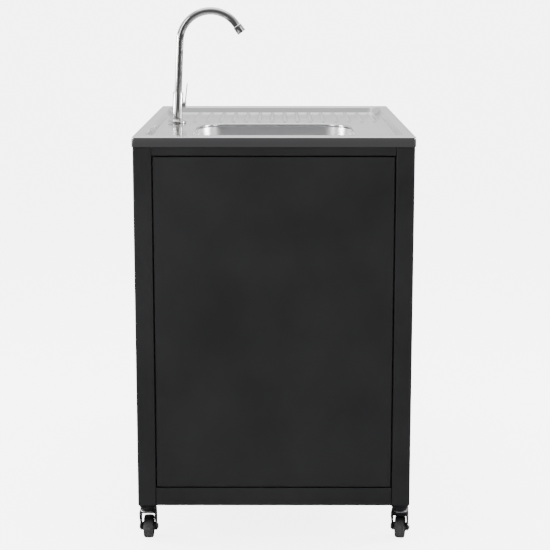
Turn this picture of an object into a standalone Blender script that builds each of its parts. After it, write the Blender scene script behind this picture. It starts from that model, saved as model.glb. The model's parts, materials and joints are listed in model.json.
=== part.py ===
"""Portable handwash sink: a pressed steel sink top on a black cabinet with four swivel casters.

X runs along the worktop from the bowl end (-X) to the drainboard end (+X). The doors are on
the -Y side. Z is up, and the origin is on the floor below the middle of the worktop. All
lengths are in metres. Inside the cabinet stand a fresh water tank, a waste water tank, a pump
and its battery, so the sink works with no water main, drain or power cord.
"""

import math

import bmesh
import bpy
from mathutils import Matrix, Vector

GAP = 0.0003  # between faces that rest on each other
HOSE_GAP = 0.001  # where a hose meets its port

# Worktop
TOP_LENGTH = 0.800
TOP_DEPTH = 0.600
TOP_HEIGHT = 0.900
APRON = 0.022
SHEET = 0.0012
RECESS = 0.016
END_RIM = 0.040
SIDE_RIM = 0.022
RECESS_SLOPE = 0.008
DECK = TOP_HEIGHT - RECESS

# Bowl and drainboard
BOWL_X = -0.127
BOWL_HALF = (0.1985, 0.1835)
BOWL_CORNER = 0.075
BOWL_DEPTH = 0.180
BOWL_FLOOR = DECK - BOWL_DEPTH
RIB_COUNT = 15
RIB_PITCH = 0.0317
RIB_FIRST_Y = -0.248
RIB_START = 0.100
RIB_END = 0.338
RIB_HEIGHT = 0.0036
RIB_HALF_WIDTH = 0.009

# Cabinet
OVERHANG = 0.002
HALF_X = TOP_LENGTH / 2 - OVERHANG
HALF_Y = TOP_DEPTH / 2 - OVERHANG
POST = 0.040
POST_WALL = 0.0015
FRAME_BOTTOM = 0.088
FRAME_TOP = DECK - SHEET - GAP
PAN_TOP = 0.128
RAIL_BOTTOM = 0.860
RAIL_DEPTH = 0.025
RAIL_WALL = 0.0012
GROOVE = 0.003
PANEL_DEPTH = 0.015
PANEL_LIP = 0.014
PANEL_LOW = PAN_TOP + GROOVE
PANEL_HIGH = RAIL_BOTTOM - GROOVE
OPENING_X = HALF_X - POST
OPENING_Y = HALF_Y - POST

# Doors
DOOR_THICKNESS = 0.018
DOOR_GAP = 0.0025
DOOR_MEETING_GAP = 0.003
HINGE_RADIUS = DOOR_THICKNESS / 2
HINGE_X = OPENING_X - DOOR_GAP - HINGE_RADIUS
HINGE_Y = -HALF_Y + HINGE_RADIUS
ROD_RADIUS = 0.003
ROD_HOLE = 0.0036
PULL_HALF = (0.0195, 0.0495)
PULL_FLANGE = 0.0055
PULL_X = 0.040
PULL_Z = 0.640

# Drain
DRAIN_SIDES = 24
DRAIN_HOLE = 0.046
TAIL_BOTTOM = 0.600

# Tap
TAP_X = 0.090
TAP_Y = 0.238
TAP_LEAN = math.radians(2.5)
TAP_HEIGHT = 0.284
BODY_RADIUS = 0.0125
BODY_TOP = 0.075
SHANK_RADIUS = 0.009
SHANK_BOTTOM = -0.045
SPOUT_RADIUS = 0.009
SPOUT_BORE = 0.0075
ARC_RADIUS = 0.075
ARC_SWEEP = math.radians(142)
AERATOR_RADIUS = 0.0108
AERATOR_LENGTH = 0.020
VALVE_HEIGHT = 0.045

# Casters
CASTER_INSET = POST / 2
WHEEL_RADIUS = 0.026
WHEEL_SIDES = 24
WHEEL_HALF_WIDTH = 0.011
AXLE_HEIGHT = WHEEL_RADIUS * math.cos(math.pi / WHEEL_SIDES)
AXLE_RADIUS = 0.004
TRAIL = 0.018
CROWN_TOP = 0.0712
CROWN_THICKNESS = 0.0022
FORK_HALF_WIDTH = 0.0180
FORK_LEG = 0.002
PEDAL_PIVOT = (0.0, 0.0615)
PEDAL_PIN = 0.0018

# Water system
TANK_SIZE = Vector((0.240, 0.280, 0.340))
TANK_WALL = 0.0025
TANK_ROUNDING = 0.028
TANK_NECK_Y = -0.080
NECK_RADIUS = 0.026
NECK_BORE = 0.0225
NECK_HEIGHT = 0.020
TANK_BASE = PAN_TOP + GAP
WASTE_TANK = Vector((-0.165, 0.040, TANK_BASE))
FRESH_TANK = Vector((0.095, 0.040, TANK_BASE))
WASTE_HOSE_RADIUS = 0.0145
SUCTION_RADIUS = 0.005
SUPPLY_RADIUS = 0.006
PUMP_X = 0.285
PUMP_Y = 0.030
PUMP_TOP = 0.2135
PORT_TOP = 0.2290
MOTOR_RADIUS = 0.030
BATTERY_LOW = Vector((0.235, -0.210, TANK_BASE))
BATTERY_HIGH = Vector((0.335, -0.060, 0.2225))

# Euler angles that turn a piece's own +Z towards a side of the cabinet, with its own Y up
FACING = {
    "front": (math.pi / 2, 0, 0),
    "rear": (math.pi / 2, 0, math.pi),
    "right": (math.pi / 2, 0, math.pi / 2),
    "left": (math.pi / 2, 0, -math.pi / 2),
}
SIDE_X = {"left": -1, "right": 1}
SIDE_Y = {"front": -1, "rear": 1}


# ---------------------------------------------------------------- scene and materials


def clear_scene():
    for item in list(bpy.data.objects):
        bpy.data.objects.remove(item, do_unlink=True)


def new_collection(name):
    made = bpy.data.collections.new(name)
    bpy.context.scene.collection.children.link(made)
    return made


def new_material(name, colour, roughness, metallic):
    made = bpy.data.materials.new(name)
    made.use_nodes = True
    made.diffuse_color = (*colour, 1)
    shader = made.node_tree.nodes["Principled BSDF"]
    shader.inputs["Base Color"].default_value = (*colour, 1)
    shader.inputs["Roughness"].default_value = roughness
    shader.inputs["Metallic"].default_value = metallic
    return made


clear_scene()
PARTS = new_collection("portable_handwash_sink")
CUTTERS = new_collection("cutters")
STEEL = new_material("brushed_steel", (0.62, 0.62, 0.61), 0.28, 1)
TAP_STEEL = new_material("tap_steel", (0.50, 0.49, 0.48), 0.25, 1)
BLACK_PAINT = new_material("black_paint", (0.022, 0.022, 0.023), 0.42, 0)
BLACK_PLASTIC = new_material("black_plastic", (0.018, 0.018, 0.019), 0.5, 0)
ZINC = new_material("zinc", (0.55, 0.56, 0.58), 0.35, 1)
RUBBER = new_material("rubber", (0.05, 0.05, 0.052), 0.7, 0)
TANK_CLEAR = new_material("tank_clear", (0.75, 0.82, 0.85), 0.35, 0)
TANK_GREY = new_material("tank_grey", (0.32, 0.33, 0.34), 0.4, 0)
HOSE_GREY = new_material("hose_grey", (0.42, 0.43, 0.44), 0.5, 0)
HOSE_BRAID = new_material("hose_braid", (0.60, 0.60, 0.60), 0.35, 1)


# ---------------------------------------------------------------- building helpers


def place(item, material, location=(0, 0, 0), rotation=(0, 0, 0), parent=None):
    """Links an object with its material where it belongs."""
    item.data.materials.append(material)
    PARTS.objects.link(item)
    item.location = location
    item.rotation_euler = rotation
    item.parent = parent
    return item


def new_object(name, mesh_or_bmesh):
    if isinstance(mesh_or_bmesh, bmesh.types.BMesh):
        mesh = bpy.data.meshes.new(name)
        mesh_or_bmesh.to_mesh(mesh)
        mesh_or_bmesh.free()
        mesh_or_bmesh = mesh
    return bpy.data.objects.new(name, mesh_or_bmesh)


def empty(name, location, rotation=(0, 0, 0)):
    made = bpy.data.objects.new(name, None)
    PARTS.objects.link(made)
    made.location = location
    made.rotation_euler = rotation
    return made


def bevel(item, width, segments=2):
    modifier = item.modifiers.new("Bevel", "BEVEL")
    modifier.width = width
    modifier.segments = segments
    modifier.limit_method = "ANGLE"
    return item


def solidify(item, thickness):
    modifier = item.modifiers.new("Solidify", "SOLIDIFY")
    modifier.thickness = thickness
    modifier.offset = -1
    modifier.use_even_offset = True
    return item


def boolean(item, other, operation):
    """Cuts or joins another object, which is then only a guide."""
    modifier = item.modifiers.new(operation.title(), "BOOLEAN")
    modifier.operation = operation
    modifier.solver = "EXACT"
    modifier.object = other
    other.hide_render = True
    other.display_type = "WIRE"
    for group in list(other.users_collection):
        group.objects.unlink(other)
    CUTTERS.objects.link(other)
    return item


def block(name, low, high, material, parent=None):
    """A box between two corners."""
    low, high = Vector(low), Vector(high)
    made = bmesh.new()
    bmesh.ops.create_cube(made, size=1, matrix=Matrix.Diagonal((*(high - low), 1)))
    return place(new_object(name, made), material, (low + high) / 2, parent=parent)


def cylinder(name, radius, start, end, material, sides=24, parent=None):
    """A round bar from start to end."""
    start, end = Vector(start), Vector(end)
    made = bmesh.new()
    bmesh.ops.create_cone(
        made, cap_ends=True, segments=sides, radius1=radius, radius2=radius, depth=(end - start).length
    )
    turn = (end - start).to_track_quat("Z", "Y").to_euler()
    return place(new_object(name, made), material, (start + end) / 2, turn, parent)


def turned(name, profile, material, location=(0, 0, 0), rotation=(0, 0, 0), parent=None, sides=24):
    """A solid of revolution about its own Z. The profile's (radius, height) points run down the
    outer side, and close on themselves unless they start and end on the axis."""
    mesh = bpy.data.meshes.new(name)
    points = [(radius, 0, height) for radius, height in profile]
    edges = [(i, i + 1) for i in range(len(points) - 1)]
    if profile[0][0] > 0:
        edges.append((len(points) - 1, 0))
    mesh.from_pydata(points, edges, [])
    item = place(bpy.data.objects.new(name, mesh), material, location, rotation, parent)
    modifier = item.modifiers.new("Screw", "SCREW")
    modifier.axis = "Z"
    modifier.steps = sides
    modifier.render_steps = sides
    modifier.use_merge_vertices = True
    modifier.merge_threshold = 0.00001
    return item


def extruded(name, outlines, length, material, location=(0, 0, 0), rotation=(0, 0, 0), parent=None):
    """A flat outline, with any holes, made into a bar along its own Z."""
    curve = bpy.data.curves.new(name, "CURVE")
    curve.dimensions = "2D"
    curve.fill_mode = "BOTH"
    curve.extrude = length / 2
    for outline in outlines:
        spline = curve.splines.new("POLY")
        spline.points.add(len(outline) - 1)
        for point, (x, y) in zip(spline.points, outline):
            point.co = (x, y, 0, 1)
        spline.use_cyclic_u = True
    return place(bpy.data.objects.new(name, curve), material, location, rotation, parent)


def tube(name, points, radius, material, parent=None, resolution=2):
    """A round rod along a line of points."""
    curve = bpy.data.curves.new(name, "CURVE")
    curve.dimensions = "3D"
    curve.bevel_depth = radius
    curve.bevel_resolution = resolution
    curve.use_fill_caps = True
    spline = curve.splines.new("POLY")
    spline.points.add(len(points) - 1)
    for point, co in zip(spline.points, points):
        point.co = (*co, 1)
    return place(bpy.data.objects.new(name, curve), material, parent=parent)


def as_mesh(item):
    """A curve made into a welded mesh, so that it can be cut or joined."""
    bpy.context.view_layer.update()
    graph = bpy.context.evaluated_depsgraph_get()
    mesh = bpy.data.meshes.new_from_object(item.evaluated_get(graph))
    work = bmesh.new()
    work.from_mesh(mesh)
    bmesh.ops.remove_doubles(work, verts=work.verts, dist=0.00001)
    work.to_mesh(mesh)
    work.free()
    name, material, parent = item.name, item.data.materials[0], item.parent
    location, rotation = item.location.copy(), item.rotation_euler.copy()
    bpy.data.objects.remove(item, do_unlink=True)
    mesh.materials.clear()
    return place(bpy.data.objects.new(name, mesh), material, location, rotation, parent)


def arc(centre, radius, start, end, count):
    """Points on a circle from one angle to another, in degrees."""
    angles = [math.radians(start + (end - start) * i / count) for i in range(count + 1)]
    return [(centre[0] + radius * math.cos(a), centre[1] + radius * math.sin(a)) for a in angles]


def rectangle(half_x, half_y, radius=0.0, corner_steps=4):
    """A rounded rectangle, anticlockwise from its +X, +Y corner's start."""
    if radius == 0:
        return [(half_x, half_y), (-half_x, half_y), (-half_x, -half_y), (half_x, -half_y)]
    points = []
    for turn, (sx, sy) in enumerate([(1, 1), (-1, 1), (-1, -1), (1, -1)]):
        centre = (sx * (half_x - radius), sy * (half_y - radius))
        points += arc(centre, radius, 90 * turn, 90 * turn + 90, corner_steps)
    return points


def loop(outline, height, centre=(0, 0)):
    return [(x + centre[0], y + centre[1], height) for x, y in outline]


def lofted(name, loops, material, location=(0, 0, 0), rotation=(0, 0, 0), parent=None, cap=False):
    """An open surface through loops with equal numbers of points. Its outer side faces up where
    a loop lies inside the one before it."""
    made = bmesh.new()
    rings = [[made.verts.new(point) for point in points] for points in loops]
    for outer, inner in zip(rings, rings[1:]):
        for i in range(len(outer)):
            j = (i + 1) % len(outer)
            made.faces.new((outer[i], outer[j], inner[j], inner[i]))
    if cap:
        made.faces.new(rings[-1])
    return place(new_object(name, made), material, location, rotation, parent)


def smooth_route(points, steps=3):
    """A smooth curve through the points of a route (Catmull-Rom), as a list of points."""
    ends = [Vector(points[0]) * 2 - Vector(points[1]), Vector(points[-1]) * 2 - Vector(points[-2])]
    line = [ends[0], *map(Vector, points), ends[1]]
    made = []
    for a, b, c, d in zip(line, line[1:], line[2:], line[3:]):
        for i in range(steps):
            t = i / steps
            bend, sway = 2 * a - 5 * b + 4 * c - d, 3 * b - a - 3 * c + d
            made.append(0.5 * (2 * b + (c - a) * t + bend * t**2 + sway * t**3))
    return [*made, Vector(points[-1])]


# ---------------------------------------------------------------- worktop and bowl


def make_worktop():
    """The pressed top: apron, flat rim, recessed deck with ribs, and the turned-down bowl edge."""
    half_x, half_y = TOP_LENGTH / 2, TOP_DEPTH / 2
    edge = 0.003
    in_x, in_y = half_x - END_RIM, half_y - SIDE_RIM
    bowl_edge = rectangle(*BOWL_HALF, BOWL_CORNER)
    item = lofted(
        "worktop",
        [
            loop(rectangle(half_x, half_y, 0.006), TOP_HEIGHT - APRON),
            loop(rectangle(half_x, half_y, 0.006), TOP_HEIGHT - edge),
            loop(rectangle(half_x - edge, half_y - edge, 0.006), TOP_HEIGHT),
            loop(rectangle(in_x, in_y, 0.030), TOP_HEIGHT),
            loop(rectangle(in_x - RECESS_SLOPE, in_y - RECESS_SLOPE, 0.026), DECK),
            loop(bowl_edge, DECK, (BOWL_X, 0)),
            loop(bowl_edge, DECK - 0.008, (BOWL_X, 0)),
        ],
        STEEL,
    )
    solidify(item, SHEET)
    boolean(item, make_ribs(), "UNION")
    hole = cylinder("tap_hole", 0.0115, (TAP_X, TAP_Y, DECK - 0.02), (TAP_X, TAP_Y, DECK + 0.02), STEEL)
    boolean(item, hole, "DIFFERENCE")


def make_ribs():
    """The drainboard's ribs as one guide of separate bars, sunk half a sheet into the deck."""
    sunk = SHEET / 2
    w, h = RIB_HALF_WIDTH, RIB_HEIGHT
    outline = [(-w, -sunk), (w, -sunk), (w, 0.0004), (w * 0.8, h * 0.7), (w * 0.4, h)]
    outline += [(-w * 0.4, h), (-w * 0.8, h * 0.7), (-w, 0.0004)]
    made = bmesh.new()
    for i in range(RIB_COUNT):
        y = RIB_FIRST_Y + i * RIB_PITCH
        ends = [
            [made.verts.new((x, y + across, DECK + up)) for across, up in outline]
            for x in (RIB_START, RIB_END)
        ]
        made.faces.new(list(reversed(ends[0])))
        made.faces.new(ends[1])
        for j in range(len(outline)):
            k = (j + 1) % len(outline)
            made.faces.new((ends[0][j], ends[0][k], ends[1][k], ends[1][j]))
    return place(new_object("ribs", made), STEEL)


def make_bowl():
    """The drawn bowl, welded under the deck's edge, with a flat seat for the strainer."""
    clear = SHEET + 0.0004
    half_x, half_y = BOWL_HALF[0] + clear, BOWL_HALF[1] + clear
    flange = 0.014
    centre = (BOWL_X, 0)
    seat = 0.062
    item = lofted(
        "sink_bowl",
        [
            loop(rectangle(half_x + flange, half_y + flange, BOWL_CORNER + flange), FRAME_TOP, centre),
            loop(rectangle(half_x, half_y, BOWL_CORNER), FRAME_TOP, centre),
            loop(rectangle(half_x - 0.009, half_y - 0.009, 0.070), BOWL_FLOOR + 0.030, centre),
            loop(rectangle(half_x - 0.017, half_y - 0.017, 0.062), BOWL_FLOOR + 0.010, centre),
            loop(rectangle(half_x - 0.034, half_y - 0.034, 0.050), BOWL_FLOOR + 0.003, centre),
            loop(rectangle(seat, seat, seat), BOWL_FLOOR, centre),
            loop(rectangle(DRAIN_HOLE, DRAIN_HOLE, DRAIN_HOLE), BOWL_FLOOR, centre),
        ],
        STEEL,
    )
    solidify(item, SHEET)


# ---------------------------------------------------------------- drain


def make_drain():
    """Strainer cup, lift-out basket, lock nut and tailpiece, all on the bowl's drain axis."""
    axis = (BOWL_X, 0, 0)
    top = BOWL_FLOOR + 0.0015
    cup, cup_floor, outlet = 0.0422, BOWL_FLOOR - 0.048, 0.019
    turned(
        "strainer_body",
        [
            (0.055, top),
            (0.055, BOWL_FLOOR + GAP),
            (cup, BOWL_FLOOR + GAP),
            (cup, cup_floor),
            (outlet, cup_floor - 0.004),
            (outlet, 0.638),
            (outlet - 0.0015, 0.638),
            (outlet - 0.0015, cup_floor - 0.0028),
            (cup - SHEET, cup_floor + 0.0012),
            (cup - SHEET, top),
        ],
        STEEL,
        axis,
        sides=DRAIN_SIDES,
    )
    turned(
        "drain_locknut",
        [
            (0.052, BOWL_FLOOR - SHEET - 0.0006),
            (0.052, 0.690),
            (cup + 0.0005, 0.690),
            (cup + 0.0005, BOWL_FLOOR - SHEET - 0.0006),
        ],
        BLACK_PLASTIC,
        axis,
        sides=DRAIN_SIDES,
    )
    turned(
        "drain_tailpiece",
        [
            (0.0225, 0.650),
            (0.0225, 0.634),
            (0.0165, 0.632),
            (0.0165, TAIL_BOTTOM),
            (0.0150, TAIL_BOTTOM),
            (0.0150, 0.6365),
            (outlet + 0.0005, 0.6375),
            (outlet + 0.0005, 0.650),
        ],
        BLACK_PLASTIC,
        axis,
        sides=DRAIN_SIDES,
    )
    make_basket(axis)


def make_basket(axis):
    """The lift-out basket with its knob and a ring of drain holes."""
    floor = BOWL_FLOOR - 0.0465
    rim = BOWL_FLOOR + 0.001
    knob = BOWL_FLOOR + 0.010
    basket = turned(
        "strainer_basket",
        [
            (0, knob),
            (0.007, knob),
            (0.009, knob - 0.003),
            (0.009, knob - 0.008),
            (0.004, knob - 0.011),
            (0.004, floor),
            (0.0320, floor),
            (0.0375, rim),
            (0.0402, rim),
            (0.0402, rim - 0.0012),
            (0.0387, rim - 0.0012),
            (0.0332, floor - 0.0012),
            (0, floor - 0.0012),
        ],
        STEEL,
        axis,
        sides=DRAIN_SIDES,
    )
    holes = bmesh.new()
    count, ring, radius = 8, 0.021, 0.0038
    for i in range(count):
        turn = 2 * math.pi * i / count
        spot = Matrix.Translation((ring * math.cos(turn), ring * math.sin(turn), floor))
        bmesh.ops.create_cone(
            holes, cap_ends=True, segments=6, radius1=radius, radius2=radius, depth=0.010, matrix=spot
        )
    boolean(basket, place(new_object("basket_holes", holes), STEEL, axis), "DIFFERENCE")


# ---------------------------------------------------------------- cabinet


def make_posts():
    """Four square tubes that carry the worktop and take the casters' stems."""
    half = POST / 2
    outlines = [rectangle(half, half, 0.003, 2), rectangle(half - POST_WALL, half - POST_WALL, 0.0015, 2)]
    for side_y, sy in SIDE_Y.items():
        for side_x, sx in SIDE_X.items():
            extruded(
                f"post_{side_y}_{side_x}",
                outlines,
                FRAME_TOP - FRAME_BOTTOM,
                BLACK_PAINT,
                (sx * (HALF_X - half), sy * (HALF_Y - half), (FRAME_TOP + FRAME_BOTTOM) / 2),
            )


def make_top_rails():
    """Box-section rails between the posts, under the worktop's apron."""
    half = (RAIL_DEPTH / 2, (FRAME_TOP - RAIL_BOTTOM) / 2)
    outlines = [rectangle(*half, 0.002, 2), rectangle(half[0] - RAIL_WALL, half[1] - RAIL_WALL)]
    middle = (FRAME_TOP + RAIL_BOTTOM) / 2
    for side, sx in SIDE_X.items():
        place_at = (sx * (HALF_X - half[0]), 0, middle)
        extruded(f"top_rail_{side}", outlines, 2 * (OPENING_Y - GAP), BLACK_PAINT, place_at, FACING["front"])
    for side, sy in SIDE_Y.items():
        place_at = (0, sy * (HALF_Y - half[0]), middle)
        rail = extruded(
            f"top_rail_{side}", outlines, 2 * (OPENING_X - GAP), BLACK_PAINT, place_at, FACING["right"]
        )
        if side == "front":
            rail = as_mesh(rail)
            for sx in SIDE_X.values():
                boolean(rail, rod_cutter(sx, RAIL_BOTTOM - 0.005, RAIL_BOTTOM + 0.006), "DIFFERENCE")


def rod_cutter(sx, low, high):
    spot = (sx * HINGE_X, HINGE_Y)
    return cylinder("rod_hole", ROD_HOLE, (*spot, low), (*spot, high), BLACK_PAINT, 12)


def make_base_pan():
    """A folded pan: the cabinet floor, with skirts that show as rails between the posts."""
    x, y = HALF_X, HALF_Y
    nx, ny = OPENING_X - 0.0005, OPENING_Y - 0.0005
    outline = [(nx, y), (-nx, y), (-nx, ny), (-x, ny), (-x, -ny), (-nx, -ny)]
    outline += [(-nx, -y), (nx, -y), (nx, -ny), (x, -ny), (x, ny), (nx, ny)]
    pan = lofted("base_pan", [loop(outline, FRAME_BOTTOM), loop(outline, PAN_TOP)], BLACK_PAINT, cap=True)
    solidify(pan, 0.0015)
    for sx in SIDE_X.values():
        boolean(pan, rod_cutter(sx, PAN_TOP - 0.01, PAN_TOP + 0.01), "DIFFERENCE")


def make_panels():
    """Folded trays that close both ends and the back, set in with an even groove."""
    half_z = (PANEL_HIGH - PANEL_LOW) / 2
    middle = (PANEL_HIGH + PANEL_LOW) / 2
    end = OPENING_Y - GROOVE
    make_tray("side_panel_left", (end, half_z), (-HALF_X, 0, middle), FACING["left"])
    make_tray("side_panel_right", (end, half_z), (HALF_X, 0, middle), FACING["right"])
    make_tray("back_panel", (OPENING_X - GROOVE, half_z), (0, HALF_Y, middle), FACING["rear"])


def make_tray(name, half, location, rotation):
    inner = rectangle(half[0] - PANEL_LIP, half[1] - PANEL_LIP)
    outer = rectangle(*half)
    loops = [loop(inner, -PANEL_DEPTH), loop(outer, -PANEL_DEPTH), loop(outer, 0)]
    solidify(lofted(name, loops, BLACK_PAINT, location, rotation, cap=True), SHEET)


# ---------------------------------------------------------------- doors


def make_doors():
    for side, sx in SIDE_X.items():
        door = make_door(side, sx)
        pull = (sx * PULL_X, -HALF_Y, PULL_Z)
        make_pull(side, pull)
        hole_half = (PULL_HALF[0] + 0.002, PULL_HALF[1] + 0.002)
        hole = block(
            "pull_hole",
            (pull[0] - hole_half[0], -HALF_Y - 0.01, PULL_Z - hole_half[1]),
            (pull[0] + hole_half[0], -HALF_Y + 0.01, PULL_Z + hole_half[1]),
            BLACK_PAINT,
        )
        boolean(door, hole, "DIFFERENCE")
        boolean(door, rod_cutter(sx, PANEL_LOW - 0.01, PANEL_HIGH + 0.01), "DIFFERENCE")
        cylinder(
            f"hinge_rod_{side}",
            ROD_RADIUS,
            (sx * HINGE_X, HINGE_Y, PAN_TOP - 0.004),
            (sx * HINGE_X, HINGE_Y, RAIL_BOTTOM + 0.008),
            ZINC,
            12,
        )
    catch_low = (-0.023, HINGE_Y + 0.0105, PANEL_HIGH - 0.014)
    block("door_catch", catch_low, (0.023, -0.255, RAIL_BOTTOM - GAP), BLACK_PLASTIC)


def make_door(side, sx):
    """A tray with its hinge edge rolled round the rod, and a lip round its open back."""
    low, high = PANEL_LOW, PANEL_HIGH
    width = HINGE_X - DOOR_MEETING_GAP / 2
    outline = [(-sx * width, HINGE_RADIUS), (-sx * width, -HINGE_RADIUS)]
    outline += [(sx * x, y) for x, y in arc((0, 0), HINGE_RADIUS, -90, 90, 8)]
    made = bmesh.new()
    face = made.faces.new([made.verts.new((x, y, low)) for x, y in outline])
    raised = bmesh.ops.extrude_face_region(made, geom=[face])["geom"]
    tops = [v for v in raised if isinstance(v, bmesh.types.BMVert)]
    bmesh.ops.translate(made, verts=tops, vec=(0, 0, high - low))
    bmesh.ops.recalc_face_normals(made, faces=made.faces)
    backs = [f for f in made.faces if f.normal.y > 0.99 and f.calc_area() > 0.1]
    bmesh.ops.inset_region(made, faces=backs, thickness=PANEL_LIP, use_even_offset=True)
    bmesh.ops.delete(made, geom=backs, context="FACES_ONLY")
    door = place(new_object(f"door_{side}", made), BLACK_PAINT, (sx * HINGE_X, HINGE_Y, 0))
    return solidify(door, SHEET)


def make_pull(side, location):
    """A flush finger cup: a flange on the door's skin round a pocket."""
    flange = (PULL_HALF[0] + PULL_FLANGE, PULL_HALF[1] + PULL_FLANGE)
    depth = 0.0125
    pull = lofted(
        f"door_pull_{side}",
        [
            loop(rectangle(*flange, 0.012, 3), SHEET + GAP),
            loop(rectangle(*PULL_HALF, 0.008, 3), SHEET + GAP),
            loop(rectangle(PULL_HALF[0] - 0.0015, PULL_HALF[1] - 0.0015, 0.007, 3), -depth),
        ],
        BLACK_PLASTIC,
        location,
        FACING["front"],
        cap=True,
    )
    solidify(pull, SHEET)


# ---------------------------------------------------------------- tap


def make_tap():
    """A cold tap: flange, body with a side valve, lever, swivel gooseneck and aerator. Its axis
    leans a little towards the bowl."""
    tap = empty("tap_axis", (TAP_X, TAP_Y, DECK), (TAP_LEAN, 0, 0))
    turned(
        "tap_flange",
        [(0.0150, 0.0100), (0.0215, 0.0060), (0.0225, 0.0015), (0.0096, 0.0015), (0.0096, 0.0100)],
        TAP_STEEL,
        parent=tap,
    )
    nut_outlines = [arc((0, 0), 0.0165, 60, 360, 5), arc((0, 0), 0.0097, 15, 360, 23)]
    extruded("tap_nut", nut_outlines, 0.0094, ZINC, (0, 0, -0.0073), parent=tap)
    make_tap_body(tap)
    make_tap_lever(tap)
    make_spout(tap)


def make_tap_body(tap):
    socket = SPOUT_RADIUS + 0.0004
    body = turned(
        "tap_body",
        [
            (0, BODY_TOP - 0.014),
            (socket, BODY_TOP - 0.014),
            (socket, BODY_TOP),
            (BODY_RADIUS - 0.0008, BODY_TOP),
            (BODY_RADIUS, BODY_TOP - 0.0015),
            (BODY_RADIUS, 0.012),
            (0.0115, 0.0103),
            (SHANK_RADIUS, 0.0103),
            (SHANK_RADIUS, SHANK_BOTTOM),
            (0, SHANK_BOTTOM),
        ],
        TAP_STEEL,
        parent=tap,
    )
    boss = cylinder(
        "valve_boss", 0.008, (0, -0.006, VALVE_HEIGHT), (0, -0.0150, VALVE_HEIGHT), TAP_STEEL, 16, tap
    )
    boolean(body, boss, "UNION")


def make_tap_lever(tap):
    """A hub on the valve with a thin blade that stands up beside the body when closed."""
    hub_start, hub_end = -0.0153, -0.0205
    pivot = empty("lever_axis", (0, 0, VALVE_HEIGHT))
    pivot.parent = tap
    lever = cylinder("tap_lever", 0.0085, (0, hub_start, 0), (0, hub_end, 0), TAP_STEEL, 16, pivot)
    outline = [(hub_end + 0.0004, 0), (hub_end - 0.0022, 0.054), (hub_end + 0.0012, 0.0545)]
    outline += [(hub_start - 0.0012, 0.020), (hub_start - 0.0006, 0)]
    blade = as_mesh(extruded("lever_blade", [outline], 0.008, TAP_STEEL, (0, 0, 0), FACING["right"], pivot))
    boolean(lever, blade, "UNION")


def make_spout(tap):
    """The riser and the arc in one tube, and the aerator on its end."""
    centre = TAP_HEIGHT - ARC_RADIUS - SPOUT_RADIUS
    foot = BODY_TOP - 0.014 + GAP
    line = [(0, 0, foot + (centre - foot) * i / 3) for i in range(3)]
    count = 14
    for i in range(count + 1):
        turn = ARC_SWEEP * i / count
        line.append((0, ARC_RADIUS * (math.cos(turn) - 1), centre + ARC_RADIUS * math.sin(turn)))
    along = Vector((0, -math.sin(ARC_SWEEP), math.cos(ARC_SWEEP)))
    line.append(Vector(line[-1]) + along * 0.005)
    spout = as_mesh(tube("tap_spout", line, SPOUT_RADIUS, TAP_STEEL, tap, 4))
    bore_line = [(0, 0, foot - 0.001), *line[1:-1], line[-1] + along * 0.001]
    boolean(spout, as_mesh(tube("spout_bore", bore_line, SPOUT_BORE, TAP_STEEL, tap, 4)), "DIFFERENCE")
    bore = AERATOR_RADIUS - 0.0025
    turned(
        "tap_aerator",
        [
            (0, -GAP),
            (AERATOR_RADIUS - 0.001, -GAP),
            (AERATOR_RADIUS, -0.0015),
            (AERATOR_RADIUS, -AERATOR_LENGTH + 0.001),
            (AERATOR_RADIUS - 0.001, -AERATOR_LENGTH),
            (bore, -AERATOR_LENGTH),
            (bore, -AERATOR_LENGTH + 0.004),
            (0, -AERATOR_LENGTH + 0.004),
        ],
        TAP_STEEL,
        line[-1],
        (-along).to_track_quat("Z", "X").to_euler(),
        tap,
    )


# ---------------------------------------------------------------- casters


def make_casters():
    """A swivel caster under each post, turned as it was left. The front pair has brakes."""
    rest_turns = {
        ("front", "left"): -10,
        ("rear", "left"): 0,
        ("front", "right"): 184,
        ("rear", "right"): 170,
    }
    for (side_y, side_x), turn in rest_turns.items():
        name = f"caster_{side_y}_{side_x}"
        spot = (
            SIDE_X[side_x] * (HALF_X - CASTER_INSET),
            SIDE_Y[side_y] * (HALF_Y - CASTER_INSET),
            0,
        )
        swivel = empty(f"{name}_swivel", spot, (0, 0, math.radians(turn)))
        make_caster_stem(name, swivel)
        make_caster_fork(name, swivel, side_y == "front")
        make_caster_wheel(name, swivel)
        if side_y == "front":
            make_caster_pedal(name, swivel)


def make_caster_stem(name, swivel):
    """The bearing head with its stem and the round insert that grips inside the post."""
    under_post = FRAME_BOTTOM - GAP
    turned(
        f"{name}_stem",
        [
            (0, 0.130),
            (0.006, 0.130),
            (0.006, 0.112),
            (0.0178, 0.112),
            (0.0178, under_post),
            (0.0195, under_post),
            (0.0195, 0.0790),
            (0.0160, 0.0745),
            (0.0120, 0.0745),
            (0.0120, CROWN_TOP + 0.0005),
            (0, CROWN_TOP + 0.0005),
        ],
        BLACK_PLASTIC,
        parent=swivel,
        sides=16,
    )


def pedal_pin(name, swivel, radius, reach):
    px, pz = PEDAL_PIVOT
    return cylinder(name, radius, (px, -reach, pz), (px, reach, pz), BLACK_PLASTIC, 12, swivel)


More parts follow.
